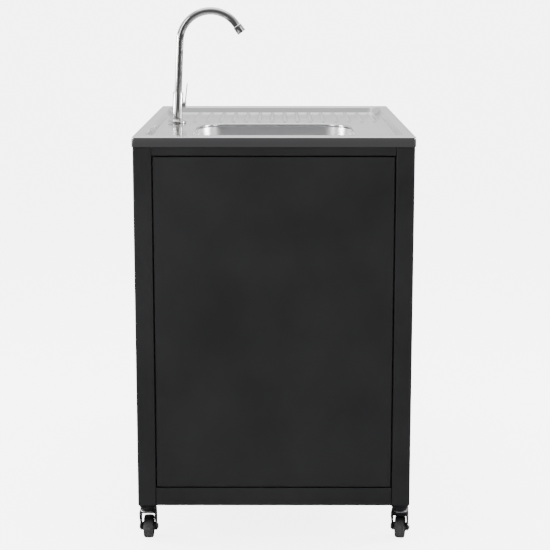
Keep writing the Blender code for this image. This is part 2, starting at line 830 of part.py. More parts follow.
def make_caster_fork(name, swivel, has_pedal):
    """The fork: a crown under the bearing and two legs down to the axle."""
    end = arc((TRAIL, AXLE_HEIGHT), 0.009, 20, -150, 6)
    outline = [(-0.0185, CROWN_TOP), (-0.0185, 0.064), (-0.006, 0.046), *reversed(end)]
    outline += [(0.0275, 0.050), (0.0205, CROWN_TOP)]
    name = f"{name}_fork"
    width = 2 * FORK_HALF_WIDTH
    fork = as_mesh(extruded(name, [outline], width, BLACK_PLASTIC, (0, 0, 0), FACING["front"], swivel))
    inside = FORK_HALF_WIDTH - FORK_LEG
    room = block(
        "fork_room",
        (-0.05, -inside, -0.01),
        (0.06, inside, CROWN_TOP - CROWN_THICKNESS),
        BLACK_PLASTIC,
        swivel,
    )
    hole_ends = [(TRAIL, -0.05, AXLE_HEIGHT), (TRAIL, 0.05, AXLE_HEIGHT)]
    hole = cylinder("axle_hole", AXLE_RADIUS + 0.0005, *hole_ends, BLACK_PLASTIC, 16, swivel)
    boolean(fork, room, "DIFFERENCE")
    boolean(fork, hole, "DIFFERENCE")
    if has_pedal:
        boolean(fork, pedal_pin("pedal_hole", swivel, PEDAL_PIN + 0.0004, 0.05), "DIFFERENCE")


def make_caster_wheel(name, swivel):
    """The wheel, with a flat of its faceted tread on the floor, and its bolt."""
    w, r = WHEEL_HALF_WIDTH, WHEEL_RADIUS
    bore = AXLE_RADIUS + 0.0005
    boss = FORK_HALF_WIDTH - FORK_LEG - 0.0010
    half = [(bore, boss), (0.0095, boss), (0.0095, w), (r - 0.0030, w), (r, w - 0.0020)]
    profile = [*half, *[(radius, -height) for radius, height in reversed(half)]]
    axle_spot = (TRAIL, 0, AXLE_HEIGHT)
    flat_down = math.pi / WHEEL_SIDES
    turned(
        f"{name}_wheel", profile, RUBBER, axle_spot, (math.pi / 2, flat_down, 0), swivel, WHEEL_SIDES
    )
    leg, head = FORK_HALF_WIDTH + GAP, 0.0030
    turned(
        f"{name}_axle",
        [
            (0, leg + head),
            (0.0068, leg + head),
            (0.0068, leg),
            (AXLE_RADIUS, leg),
            (AXLE_RADIUS, -leg),
            (0.0068, -leg),
            (0.0068, -leg - head),
            (0, -leg - head),
        ],
        ZINC,
        axle_spot,
        (math.pi / 2, 0, 0),
        swivel,
        12,
    )


def make_caster_pedal(name, swivel):
    """The brake pedal, raised: its tail sticks out behind the fork above the wheel."""
    px, pz = PEDAL_PIVOT
    pivot = empty(f"{name}_pedal_axis", (px, 0, pz))
    pivot.parent = swivel
    outline = [(-0.004, 0.004), (-0.004, -0.0035), (0.022, -0.0035), (0.031, -0.0010)]
    outline += [(0.044, 0.0024), (0.043, 0.0056), (0.030, 0.0036)]
    width = 2 * (FORK_HALF_WIDTH - FORK_LEG - 0.0008)
    pedal = extruded(f"{name}_pedal", [outline], width, BLACK_PLASTIC, (0, 0, 0), FACING["front"], pivot)
    boolean(as_mesh(pedal), pedal_pin("pin", swivel, PEDAL_PIN, FORK_HALF_WIDTH), "UNION")


# ---------------------------------------------------------------- water system


def make_tank(name, spot, material):
    """A blow-moulded can: rounded walls, a neck at the front and an arched handle."""
    base = empty(f"{name}_base", spot)
    size = TANK_SIZE
    low, high = (-size.x / 2, -size.y / 2, 0), (size.x / 2, size.y / 2, size.z)
    tank = bevel(block(name, low, high, material, base), TANK_ROUNDING)
    arch = [(0, -0.020, size.z - 0.008), (0, -0.014, size.z + 0.024), (0, 0.004, size.z + 0.038)]
    arch += [(0, 0.086, size.z + 0.038), (0, 0.104, size.z + 0.024), (0, 0.110, size.z - 0.008)]
    handle = as_mesh(tube("handle", arch, 0.009, material, base, 2))
    neck = cylinder(
        "neck",
        NECK_RADIUS,
        (0, TANK_NECK_Y, size.z - 0.01),
        (0, TANK_NECK_Y, size.z + NECK_HEIGHT),
        material,
        24,
        base,
    )
    wall = Vector((TANK_WALL,) * 3)
    cavity = block("cavity", Vector(low) + wall, Vector(high) - wall, material, base)
    bevel(cavity, TANK_ROUNDING - TANK_WALL)
    bore = cylinder(
        "neck_bore",
        NECK_BORE,
        (0, TANK_NECK_Y, size.z - 0.020),
        (0, TANK_NECK_Y, size.z + NECK_HEIGHT + 0.01),
        material,
        24,
        base,
    )
    boolean(tank, neck, "UNION")
    boolean(tank, handle, "UNION")
    boolean(tank, cavity, "DIFFERENCE")
    boolean(tank, bore, "DIFFERENCE")
    return base


def make_cap(name, base, hose_radius):
    """A screw cap with a hole that the hose passes through."""
    top = TANK_SIZE.z + NECK_HEIGHT + 0.0035
    inside = NECK_RADIUS + 0.0007
    hole = hose_radius + 0.001
    turned(
        name,
        [
            (0.0295, top),
            (0.0310, top - 0.0020),
            (0.0310, top - 0.0200),
            (inside, top - 0.0200),
            (inside, top - 0.0030),
            (hole, top - 0.0030),
            (hole, top),
        ],
        BLACK_PLASTIC,
        (0, TANK_NECK_Y, 0),
        parent=base,
    )


def make_water_system():
    make_cap("waste_tank_cap", make_tank("waste_tank", WASTE_TANK, TANK_GREY), WASTE_HOSE_RADIUS)
    make_cap("fresh_tank_cap", make_tank("fresh_tank", FRESH_TANK, TANK_CLEAR), SUCTION_RADIUS)
    make_pump()
    make_battery()
    make_hoses()


def make_pump():
    """A diaphragm pump: a head with two ports on top, and its motor behind."""
    y_front, y_back = PUMP_Y - 0.032, PUMP_Y + 0.032
    head = block(
        "pump_head", (PUMP_X - 0.040, y_front, TANK_BASE), (PUMP_X + 0.040, y_back, PUMP_TOP), BLACK_PLASTIC
    )
    bevel(head, 0.006)
    for side in (-1, 1):
        x = PUMP_X + side * 0.020
        foot = (x, PUMP_Y, PUMP_TOP - 0.01)
        port = cylinder("port", 0.0055, foot, (x, PUMP_Y, PORT_TOP), BLACK_PLASTIC, 16)
        boolean(head, port, "UNION")
    start, length = y_back + GAP, 0.110
    height = TANK_BASE + 0.012 + MOTOR_RADIUS
    motor = cylinder(
        "pump_motor", MOTOR_RADIUS, (PUMP_X, start, height), (PUMP_X, start + length, height), ZINC
    )
    foot = block(
        "motor_foot",
        (PUMP_X - 0.034, start + 0.030, TANK_BASE),
        (PUMP_X + 0.034, start + 0.085, height - 0.020),
        ZINC,
    )
    boolean(motor, foot, "UNION")


def make_battery():
    battery = bevel(block("battery", BATTERY_LOW, BATTERY_HIGH, BLACK_PLASTIC), 0.003)
    for y in (BATTERY_LOW.y + 0.020, BATTERY_HIGH.y - 0.020):
        x = BATTERY_LOW.x + 0.020
        post = cylinder(
            "terminal", 0.005, (x, y, BATTERY_HIGH.z - 0.005), (x, y, BATTERY_HIGH.z + 0.007), ZINC, 12
        )
        boolean(battery, post, "UNION")


def make_hoses():
    """Drain hose, suction hose with its dip tube, braided supply hose and the pump's lead."""
    neck = Vector((0, TANK_NECK_Y, 0))
    waste, fresh = WASTE_TANK + neck, FRESH_TANK + neck
    tube(
        "waste_hose",
        smooth_route(
            [
                (BOWL_X, 0, TAIL_BOTTOM - HOSE_GAP),
                (BOWL_X, 0, 0.584),
                (BOWL_X - 0.008, -0.008, 0.560),
                (BOWL_X - 0.024, -0.026, 0.534),
                (waste.x + 0.001, waste.y + 0.001, 0.508),
                (waste.x, waste.y, 0.488),
                (waste.x, waste.y, 0.455),
            ]
        ),
        WASTE_HOSE_RADIUS,
        HOSE_GREY,
    )
    tube(
        "suction_hose",
        smooth_route(
            [
                (fresh.x, fresh.y, TANK_BASE + 0.015),
                (fresh.x, fresh.y, 0.300),
                (fresh.x, fresh.y, 0.470),
                (fresh.x, fresh.y, 0.505),
                (fresh.x + 0.012, fresh.y, 0.545),
                (fresh.x + 0.050, fresh.y + 0.010, 0.572),
                (fresh.x + 0.105, fresh.y + 0.030, 0.560),
                (fresh.x + 0.150, fresh.y + 0.055, 0.500),
                (PUMP_X - 0.022, PUMP_Y - 0.004, 0.400),
                (PUMP_X - 0.020, PUMP_Y, 0.300),
                (PUMP_X - 0.020, PUMP_Y, PORT_TOP + HOSE_GAP),
            ]
        ),
        SUCTION_RADIUS,
        HOSE_GREY,
    )
    shank = Vector((TAP_X, TAP_Y, DECK)) + Matrix.Rotation(TAP_LEAN, 3, "X") @ Vector(
        (0, 0, SHANK_BOTTOM - HOSE_GAP)
    )
    tube(
        "supply_hose",
        smooth_route(
            [
                (PUMP_X + 0.020, PUMP_Y, PORT_TOP + HOSE_GAP),
                (PUMP_X + 0.020, PUMP_Y, 0.265),
                (PUMP_X + 0.026, PUMP_Y + 0.030, 0.330),
                (PUMP_X + 0.026, PUMP_Y + 0.110, 0.410),
                (PUMP_X + 0.005, PUMP_Y + 0.185, 0.510),
                (TAP_X + 0.130, 0.243, 0.620),
                (TAP_X + 0.050, 0.243, 0.720),
                (TAP_X + 0.008, 0.241, 0.785),
                (shank.x, shank.y + 0.0007, shank.z - 0.018),
                tuple(shank),
            ]
        ),
        SUPPLY_RADIUS,
        HOSE_BRAID,
    )
    motor_side = PUMP_X + MOTOR_RADIUS + GAP
    tube(
        "pump_lead",
        smooth_route(
            [
                (BATTERY_HIGH.x - 0.030, BATTERY_HIGH.y - 0.025, BATTERY_HIGH.z + 0.001),
                (BATTERY_HIGH.x - 0.030, BATTERY_HIGH.y - 0.025, BATTERY_HIGH.z + 0.010),
                (BATTERY_HIGH.x - 0.018, BATTERY_HIGH.y - 0.010, 0.244),
                (BATTERY_HIGH.x - 0.002, BATTERY_HIGH.y + 0.024, 0.250),
                (BATTERY_HIGH.x + 0.004, PUMP_Y, 0.240),
                (BATTERY_HIGH.x + 0.006, PUMP_Y + 0.060, 0.210),
                (motor_side + 0.016, PUMP_Y + 0.085, TANK_BASE + 0.046),
                (motor_side + 0.008, PUMP_Y + 0.092, TANK_BASE + 0.042),
                (motor_side + 0.001, PUMP_Y + 0.092, TANK_BASE + 0.042),
            ]
        ),
        0.0025,
        RUBBER,
    )


make_worktop()
make_bowl()
make_drain()
make_posts()
make_top_rails()
make_base_pan()
make_panels()
make_doors()
make_tap()
make_casters()
make_water_system()
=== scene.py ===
"""Looks of the portable handwash sink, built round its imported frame.

Every piece lies where its CAD node lies. Lengths are in metres. X runs from the bowl end to the
drainboard end, the doors face -Y and Z is up.
"""

import json
import math

import bmesh
import bpy
from mathutils import Matrix, Vector


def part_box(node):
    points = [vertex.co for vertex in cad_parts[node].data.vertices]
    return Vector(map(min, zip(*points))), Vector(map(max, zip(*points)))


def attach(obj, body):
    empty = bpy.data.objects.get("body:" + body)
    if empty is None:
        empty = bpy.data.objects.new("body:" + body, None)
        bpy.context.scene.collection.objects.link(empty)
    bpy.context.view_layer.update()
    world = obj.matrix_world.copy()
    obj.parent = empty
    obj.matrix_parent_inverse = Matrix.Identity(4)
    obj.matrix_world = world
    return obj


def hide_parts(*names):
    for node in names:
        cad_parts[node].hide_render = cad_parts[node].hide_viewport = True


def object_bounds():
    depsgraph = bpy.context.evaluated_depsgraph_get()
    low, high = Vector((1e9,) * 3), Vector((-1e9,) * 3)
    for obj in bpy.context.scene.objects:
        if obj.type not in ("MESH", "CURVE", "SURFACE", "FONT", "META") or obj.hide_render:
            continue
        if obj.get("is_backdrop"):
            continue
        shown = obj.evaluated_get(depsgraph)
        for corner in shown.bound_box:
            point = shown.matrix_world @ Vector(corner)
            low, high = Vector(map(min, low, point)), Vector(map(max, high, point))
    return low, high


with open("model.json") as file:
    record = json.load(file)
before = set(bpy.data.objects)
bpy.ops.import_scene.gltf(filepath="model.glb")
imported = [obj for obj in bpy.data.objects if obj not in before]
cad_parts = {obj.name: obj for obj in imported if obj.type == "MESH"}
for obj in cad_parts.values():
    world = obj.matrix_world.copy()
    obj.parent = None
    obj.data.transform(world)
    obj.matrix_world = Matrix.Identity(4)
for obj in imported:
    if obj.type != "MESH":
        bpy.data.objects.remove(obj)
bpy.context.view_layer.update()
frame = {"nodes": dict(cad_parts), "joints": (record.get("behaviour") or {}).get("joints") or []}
JOINTS = {joint["name"]: joint for joint in frame["joints"]}


def middle_of(name):
    low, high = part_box(name)
    return [(a + b) / 2 for a, b in zip(low, high)]


# Camera: at the bowl end, a little above the top and looking slightly down
CAMERA_PLACE = (-3.274, -0.0074, 1.2003)
CAMERA_TILT = math.radians(9.19)
CAMERA_TURN = math.radians(0.096)
CAMERA_LENS = 89.97
CAMERA_SHIFT = -0.11
FLOOR_GLOW = 6.0

# Worktop, the same as in the frame
SHEET = 0.0012
TOP_LOW, TOP_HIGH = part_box("worktop")
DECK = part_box("sink_bowl")[1].z + SHEET + 0.0003
END_RIM = 0.040
SIDE_RIM = 0.022
RECESS_SLOPE = 0.008
BOWL_X = middle_of("sink_bowl")[0]
BOWL_HALF = (0.1985, 0.1835)
BOWL_CORNER = 0.075
BOWL_FLOOR = DECK - 0.180
DRAIN_HOLE = 0.046
RIB_COUNT = 15
RIB_PITCH = 0.0317
RIB_FIRST_Y = -0.248
RIB_START = 0.098
RIB_HEIGHT = 0.0034
RIB_HALF_WIDTH = 0.0095

# Tap
BODY_RADIUS = 0.0125
BODY_TOP = 0.075
SPOUT_RADIUS = 0.009
ARC_RADIUS = 0.075
ARC_SWEEP = math.radians(142)
TAP_HEIGHT = 0.284
VALVE_HEIGHT = 0.045
SHANK_LOW = -0.0450

# Tanks, measured from the floor under them
TANK_HALF = (0.120, 0.140)
TANK_HIGH = 0.340
TANK_ROUNDING = 0.028
TANK_WALL = 0.0025
NECK_Y = -0.080
NECK_RADIUS = 0.026
NECK_BORE = 0.0225
NECK_TOP = TANK_HIGH + 0.020
HANDLE = [
    (0, -0.020, 0.332), (0, -0.016, 0.352), (0, -0.010, 0.368), (0, 0.000, 0.3765),
    (0, 0.012, 0.378), (0, 0.045, 0.378), (0, 0.078, 0.378), (0, 0.090, 0.3765),
    (0, 0.100, 0.368), (0, 0.106, 0.352), (0, 0.110, 0.332),
]

# Pump, battery and hoses
MOTOR_RADIUS = 0.030
MOTOR_FOOT_HALF = 0.034
POST_RISE = 0.0070
HOSE_GAP = 0.001

# Where a noise's values mostly lie, and the radius that counts as on the axis
NOISE_LOW, NOISE_HIGH = 0.3, 0.7
ON_AXIS = 1e-9
ON_ITS_SIDE = Matrix.Rotation(math.pi / 2, 4, "X")


# ---------------------------------------------------------------- meshes


def new_piece(name, made, material, smooth_angle=35):
    """An object from a bmesh, shaded smooth except at corners sharper than the angle."""
    mesh = bpy.data.meshes.new(name)
    made.to_mesh(mesh)
    made.free()
    mesh.materials.append(material)
    mesh.shade_smooth()
    mesh.set_sharp_from_angle(angle=math.radians(smooth_angle))
    item = bpy.data.objects.new(name, mesh)
    bpy.context.scene.collection.objects.link(item)
    return item


def final_mesh(item):
    """The item's mesh as its curve or modifiers make it."""
    bpy.context.view_layer.update()
    seen = item.evaluated_get(bpy.context.evaluated_depsgraph_get())
    return bpy.data.meshes.new_from_object(seen)


def bake(item):
    """Applies the item's modifiers and placement, so that its mesh is final."""
    mesh = final_mesh(item)
    mesh.transform(item.matrix_world)
    item.modifiers.clear()
    item.data = mesh
    item.matrix_world = Matrix.Identity(4)


def bevel(item, width, segments=3, angle=30):
    modifier = item.modifiers.new("Bevel", "BEVEL")
    modifier.width = width
    modifier.segments = segments
    modifier.limit_method = "ANGLE"
    modifier.angle_limit = math.radians(angle)
    modifier.harden_normals = True
    return item


def shell(item, thickness):
    modifier = item.modifiers.new("Solidify", "SOLIDIFY")
    modifier.thickness = thickness
    modifier.offset = -1
    modifier.use_even_offset = True
    return item


def combine(item, other, operation):
    """Joins or cuts with another mesh object, which is used up."""
    modifier = item.modifiers.new("Boolean", "BOOLEAN")
    modifier.operation = operation
    modifier.solver = "EXACT"
    modifier.object = other
    bake(item)
    bpy.data.objects.remove(other, do_unlink=True)
    return item


def arc(centre, radius, start, end, count):
    angles = [math.radians(start + (end - start) * i / count) for i in range(count + 1)]
    return [(centre[0] + radius * math.cos(a), centre[1] + radius * math.sin(a)) for a in angles]


def rectangle(half_x, half_y, radius, corner_steps=10):
    points = []
    for turn, (sx, sy) in enumerate([(1, 1), (-1, 1), (-1, -1), (1, -1)]):
        centre = (sx * (half_x - radius), sy * (half_y - radius))
        points += arc(centre, radius, 90 * turn, 90 * turn + 90, corner_steps)
    return points


def rounded(points, steps=4):
    """A profile with its inner points rounded. Each point is (a, b, radius)."""
    made = [Vector(points[0][:2])]
    for before, here, after in zip(points, points[1:], points[2:]):
        corner = Vector(here[:2])
        back = (Vector(before[:2]) - corner).normalized()
        ahead = (Vector(after[:2]) - corner).normalized()
        if here[2] == 0:
            made.append(corner)
            continue
        half = back.angle(ahead) / 2
        reach = here[2] / math.tan(half)
        centre = corner + (back + ahead).normalized() * (here[2] / math.sin(half))
        first = corner + back * reach - centre
        swing = first.angle_signed(corner + ahead * reach - centre)
        for i in range(steps + 1):
            made.append(centre + Matrix.Rotation(-swing * i / steps, 2) @ first)
    made.append(Vector(points[-1][:2]))
    return [tuple(point) for point in made]


def lofted(name, loops, material, cap=False, cap_start=False, smooth_angle=35):
    """A surface through loops with equal numbers of points."""
    made = bmesh.new()
    rings = [[made.verts.new(point) for point in points] for points in loops]
    for outer, inner in zip(rings, rings[1:]):
        for i in range(len(outer)):
            j = (i + 1) % len(outer)
            made.faces.new((outer[i], outer[j], inner[j], inner[i]))
    if cap:
        made.faces.new(rings[-1])
    if cap_start:
        made.faces.new(list(reversed(rings[0])))
    return new_piece(name, made, material, smooth_angle)


def at_height(outline, height, centre=(0, 0)):
    return [(x + centre[0], y + centre[1], height) for x, y in outline]


def turned(name, profile, material, place=None, sides=64):
    """A solid of revolution. The (radius, height) profile runs down the outer side, and closes on
    itself unless it starts and ends on the axis."""
    place = place or Matrix.Identity(4)
    made = bmesh.new()
    closed = profile[0][0] > ON_AXIS
    rings = []
    for radius, height in profile:
        spots = [(0, 0, height)] if radius < ON_AXIS else circle(radius, height, sides)
        rings.append([made.verts.new(spot) for spot in spots])
    pairs = list(zip(rings, rings[1:]))
    if closed:
        pairs.append((rings[-1], rings[0]))
    for upper, lower in pairs:
        for i in range(sides):
            j = (i + 1) % sides
            around = ((upper, i), (lower, i), (lower, j), (upper, j))
            face = list(dict.fromkeys(ring[k % len(ring)] for ring, k in around))
            if len(face) > 2:
                made.faces.new(face)
    made.transform(place)
    return new_piece(name, made, material)


def circle_angles(count):
    return [2 * math.pi * i / count for i in range(count)]


def circle(radius, height, count):
    return [(radius * math.cos(a), radius * math.sin(a), height) for a in circle_angles(count)]


def prism(name, outlines, low, high, material, place):
    """A flat outline, with any holes, made into a bar between two heights."""
    curve = bpy.data.curves.new(name, "CURVE")
    curve.dimensions = "2D"
    curve.fill_mode = "BOTH"
    curve.extrude = (high - low) / 2
    for outline in outlines:
        spline = curve.splines.new("POLY")
        spline.points.add(len(outline) - 1)
        for point, (x, y) in zip(spline.points, outline):
            point.co = (x, y, (low + high) / 2, 1)
        spline.use_cyclic_u = True
    source = bpy.data.objects.new(name, curve)
    bpy.context.scene.collection.objects.link(source)
    mesh = final_mesh(source)
    bpy.data.objects.remove(source, do_unlink=True)
    made = bmesh.new()
    made.from_mesh(mesh)
    bmesh.ops.remove_doubles(made, verts=made.verts, dist=0.00001)
    made.transform(place)
    return new_piece(name, made, material)


def block(name, low, high, material, round_by=0.0, segments=3):
    low, high = Vector(low), Vector(high)
    made = bmesh.new()
    bmesh.ops.create_cube(made, size=1, matrix=Matrix.Diagonal((*(high - low), 1)))
    bmesh.ops.translate(made, verts=made.verts, vec=(low + high) / 2)
    if round_by:
        round_edges(made, round_by, segments)
    return new_piece(name, made, material)


def round_edges(made, width, segments):
    bmesh.ops.bevel(
        made, geom=made.edges[:], offset=width, segments=segments, profile=0.5, affect="EDGES"
    )


def add_bar(made, size, place):
    bmesh.ops.create_cube(made, size=1, matrix=place @ Matrix.Diagonal((*size, 1)))


def add_peg(made, radius, length, segments, place):
    bmesh.ops.create_cone(
        made,
        cap_ends=True,
        segments=segments,
        radius1=radius,
        radius2=radius,
        depth=length,
        matrix=place,
    )


def split_block(name, low, high, split, gap, neck, material, round_by, segments):
    """Two rounded blocks, one above the other, joined by a set-in neck.

    The neck is given by its inset and by how far it goes below and above the split.
    """
    inset, down, up = neck
    inward = Vector((inset, inset, 0))
    lower = block(name, low, (high.x, high.y, split), material, round_by, segments)
    upper = block("upper", (low.x, low.y, split + gap), high, material, round_by, segments)
    neck_low = Vector((low.x, low.y, split - down)) + inward
    neck_high = Vector((high.x, high.y, split + up)) - inward
    combine(lower, upper, "UNION")
    return combine(lower, block("neck", neck_low, neck_high, material), "UNION")


def swept(name, points, radius, material, sides=20):
    """A tube along a line. The radius is a number, or a function of the distance run."""
    width = radius if callable(radius) else lambda run: radius
    made = bmesh.new()
    rings = []
    run = 0.0
    side = None
    for i, point in enumerate(points):
        point = Vector(point)
        before = Vector(points[max(i - 1, 0)])
        after = Vector(points[min(i + 1, len(points) - 1)])
        along = (after - before).normalized()
        run += (point - before).length
        side = along.orthogonal() if side is None else side - along * side.dot(along)
        side.normalize()
        other = along.cross(side)
        ring = []
        for a in circle_angles(sides):
            outward = side * math.cos(a) + other * math.sin(a)
            ring.append(made.verts.new(point + outward * width(run)))
        rings.append(ring)
    for one, two in zip(rings, rings[1:]):
        for i in range(sides):
            j = (i + 1) % sides
            made.faces.new((one[i], one[j], two[j], two[i]))
    made.faces.new(list(reversed(rings[0])))
    made.faces.new(rings[-1])
    return new_piece(name, made, material, 50)


def smooth_route(points, steps=8):
    """A smooth curve through the points of a route (Catmull-Rom)."""
    ends = [Vector(points[0]) * 2 - Vector(points[1]), Vector(points[-1]) * 2 - Vector(points[-2])]
    line = [ends[0], *map(Vector, points), ends[1]]
    made = []
    for a, b, c, d in zip(line, line[1:], line[2:], line[3:]):
        for i in range(steps):
            t = i / steps
            bend, sway = 2 * a - 5 * b + 4 * c - d, 3 * b - a - 3 * c + d
            made.append(0.5 * (2 * b + (c - a) * t + bend * t**2 + sway * t**3))
    return [*made, Vector(points[-1])]


def resampled(points, spacing):
    """Points at an even spacing along a line."""
    made = [Vector(points[0])]
    left = spacing
    for before, after in zip(points, points[1:]):
        before, after = Vector(before), Vector(after)
        length = (after - before).length
        run = 0.0
        while length - run >= left:
            run += left
            made.append(before.lerp(after, run / length))
            left = spacing
        left -= length - run
    made.append(Vector(points[-1]))
    return made


def show(item, body, slot, *nodes):
    """Puts a finished piece on its body, in place of its CAD nodes. The slot is not used."""
    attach(item, body)
    if nodes:
        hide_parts(*nodes)
    return item


# ---------------------------------------------------------------- materials


def new_material(name, colour, roughness, metallic=0.0, **sockets):
    """A Principled material. Extra sockets use the shader's own names, with _ for spaces."""
    made = bpy.data.materials.new(name)
    made.use_nodes = True
    shader = made.node_tree.nodes["Principled BSDF"]
    shader.inputs["Base Color"].default_value = (*colour, 1)
    shader.inputs["Roughness"].default_value = roughness
    shader.inputs["Metallic"].default_value = metallic
    for socket, value in sockets.items():
        shader.inputs[socket.replace("_", " ")].default_value = value
    return made


def noise(material, scale, stretch=(1, 1, 1), detail=3.0):
    """A noise in the object's own metres, stretched along an axis by a small factor."""
    nodes, links = material.node_tree.nodes, material.node_tree.links
    place = nodes.new("ShaderNodeTexCoord")
    mapping = nodes.new("ShaderNodeMapping")
    mapping.inputs["Scale"].default_value = stretch
    texture = nodes.new("ShaderNodeTexNoise")
    texture.inputs["Scale"].default_value = scale
    texture.inputs["Detail"].default_value = detail
    texture.inputs["Roughness"].default_value = 0.5
    links.new(place.outputs["Object"], mapping.inputs["Vector"])
    links.new(mapping.outputs["Vector"], texture.inputs["Vector"])
    return texture.outputs["Fac"]


def drive_roughness(material, value, low, high):
    nodes, links = material.node_tree.nodes, material.node_tree.links
    spread = nodes.new("ShaderNodeMapRange")
    spread.inputs["From Min"].default_value = NOISE_LOW
    spread.inputs["From Max"].default_value = NOISE_HIGH
    spread.inputs["To Min"].default_value = low
    spread.inputs["To Max"].default_value = high
    links.new(value, spread.inputs["Value"])
    links.new(spread.outputs["Result"], nodes["Principled BSDF"].inputs["Roughness"])


def drive_colour(material, value, dark, light):
    nodes, links = material.node_tree.nodes, material.node_tree.links
    ramp = nodes.new("ShaderNodeValToRGB")
    ramp.color_ramp.elements[0].position = NOISE_LOW
    ramp.color_ramp.elements[0].color = (*dark, 1)
    ramp.color_ramp.elements[1].position = NOISE_HIGH
    ramp.color_ramp.elements[1].color = (*light, 1)
    links.new(value, ramp.inputs["Fac"])
    links.new(ramp.outputs["Color"], nodes["Principled BSDF"].inputs["Base Color"])


def drive_bump(material, value, distance, strength=1.0):
    """Adds a bump on top of any earlier one."""
    nodes, links = material.node_tree.nodes, material.node_tree.links
    shader = nodes["Principled BSDF"]
    bump = nodes.new("ShaderNodeBump")
    bump.inputs["Distance"].default_value = distance
    bump.inputs["Strength"].default_value = strength
    links.new(value, bump.inputs["Height"])
    if shader.inputs["Normal"].links:
        links.new(shader.inputs["Normal"].links[0].from_socket, bump.inputs["Normal"])
    links.new(bump.outputs["Normal"], shader.inputs["Normal"])


def grey(value):
    return (value, value, value)


def make_worktop_steel():
    """Polished steel with a fine brushed grain along the top, and faint smears."""
    made = new_material("worktop_steel", (0.63, 0.63, 0.635), 0.17, 1.0)
    grain = noise(made, 1.0, (18, 1400, 1400), 4)
    smears = noise(made, 9.0, detail=5)
    drive_roughness(made, smears, 0.13, 0.21)
    drive_colour(made, grain, (0.60, 0.60, 0.605), (0.66, 0.66, 0.665))
    drive_bump(made, grain, 0.00002, 0.35)
    return made


def make_bowl_steel():
    """Satin steel, polished in no one direction."""
    made = new_material("bowl_steel", (0.60, 0.60, 0.605), 0.24, 1.0)
    fine = noise(made, 1500, (1, 1, 0.05), 3)
    smears = noise(made, 14.0, detail=5)
    drive_roughness(made, smears, 0.27, 0.37)
    drive_colour(made, fine, (0.57, 0.57, 0.575), (0.63, 0.63, 0.635))
    drive_bump(made, fine, 0.00002, 0.3)
    return made


def make_tap_steel():
    """Satin nickel with a grain round the tube."""
    made = new_material("tap_steel", (0.56, 0.55, 0.54), 0.16, 1.0)
    grain = noise(made, 1.0, (260, 260, 1800), 3)
    smears = noise(made, 40.0, detail=4)
    drive_roughness(made, smears, 0.11, 0.20)
    drive_bump(made, grain, 0.00001, 0.3)
    return made


def make_black_paint():
    """Powder coat: a fine pebbled skin with slow changes of sheen."""
    made = new_material("black_paint", (0.021, 0.021, 0.022), 0.42, 0.0, Specular_IOR_Level=0.45)
    pebble = noise(made, 1400, detail=2)
    cloud = noise(made, 6.0, detail=4)
    drive_roughness(made, cloud, 0.36, 0.46)
    drive_colour(made, cloud, (0.019, 0.019, 0.020), (0.025, 0.025, 0.026))
    drive_bump(made, pebble, 0.00006, 0.35)
    return made


def make_plastic(name, colour, roughness, **sockets):
    """Moulded plastic with a fine spark-eroded grain."""
    made = new_material(name, colour, roughness, 0.0, **sockets)
    grain = noise(made, 2200, detail=2)
    cloud = noise(made, 30.0, detail=3)
    drive_roughness(made, cloud, roughness - 0.05, roughness + 0.07)
    dark, light = [c * 0.9 for c in colour], [min(c * 1.12, 1) for c in colour]
    drive_colour(made, cloud, dark, light)
    drive_bump(made, grain, 0.00003, 0.3)
    return made


def make_zinc():
    """Zinc plate with its faint spangle."""
    made = new_material("zinc_steel", (0.60, 0.61, 0.63), 0.3, 1.0)
    spangle = noise(made, 220, detail=2)
    drive_roughness(made, spangle, 0.22, 0.38)
    drive_colour(made, spangle, (0.55, 0.56, 0.58), (0.66, 0.67, 0.69))
    return made


def make_rubber():
    """Wheel rubber, a little dusty."""
    made = new_material("wheel_rubber", (0.045, 0.045, 0.047), 0.7)
    dust = noise(made, 160, detail=5)
    drive_roughness(made, dust, 0.58, 0.8)
    drive_colour(made, dust, (0.032, 0.032, 0.034), (0.075, 0.074, 0.072))
    drive_bump(made, dust, 0.00012, 0.4)
    return made


def make_tank_natural():
    """Natural polyethylene, milky and slightly see-through."""
    made = make_plastic("tank_natural", (0.72, 0.78, 0.80), 0.38, Subsurface_Weight=0.35)
    made.node_tree.nodes["Principled BSDF"].inputs["Subsurface Scale"].default_value = 0.01
    return made


def make_braid():
    """A braided steel sheath: two crossed sets of fine strands."""
    made = new_material("hose_braid", grey(0.55), 0.35, 1.0)
    nodes, links = made.node_tree.nodes, made.node_tree.links
    place = nodes.new("ShaderNodeTexCoord")
    strands = nodes.new("ShaderNodeTexChecker")
    strands.inputs["Scale"].default_value = 620
    mapping = nodes.new("ShaderNodeMapping")
    mapping.inputs["Rotation"].default_value = (0.6, 0.7, 0.785)
    links.new(place.outputs["Object"], mapping.inputs["Vector"])
    links.new(mapping.outputs["Vector"], strands.inputs["Vector"])
    drive_bump(made, strands.outputs["Fac"], 0.0003, 0.8)
    drive_colour(made, strands.outputs["Fac"], grey(0.30), grey(0.68))
    return made


WORKTOP_STEEL = make_worktop_steel()
BOWL_STEEL = make_bowl_steel()
TAP_STEEL = make_tap_steel()
BLACK_PAINT = make_black_paint()
BLACK_PLASTIC = make_plastic("black_plastic", (0.017, 0.017, 0.018), 0.42)
CASTER_BLACK = make_plastic("caster_black", (0.012, 0.012, 0.013), 0.33)
ZINC = make_zinc()
RUBBER = make_rubber()
TANK_NATURAL = make_tank_natural()
TANK_GREY = make_plastic("tank_grey", (0.16, 0.165, 0.17), 0.4)
HOSE_GREY = make_plastic("hose_grey", (0.35, 0.36, 0.37), 0.5)
HOSE_BRAID = make_braid()
BATTERY_CASE = make_plastic("battery_case", (0.03, 0.032, 0.04), 0.28)
LEAD_RED = make_plastic("lead_red", (0.45, 0.02, 0.015), 0.4)


# ---------------------------------------------------------------- camera, lights and floor


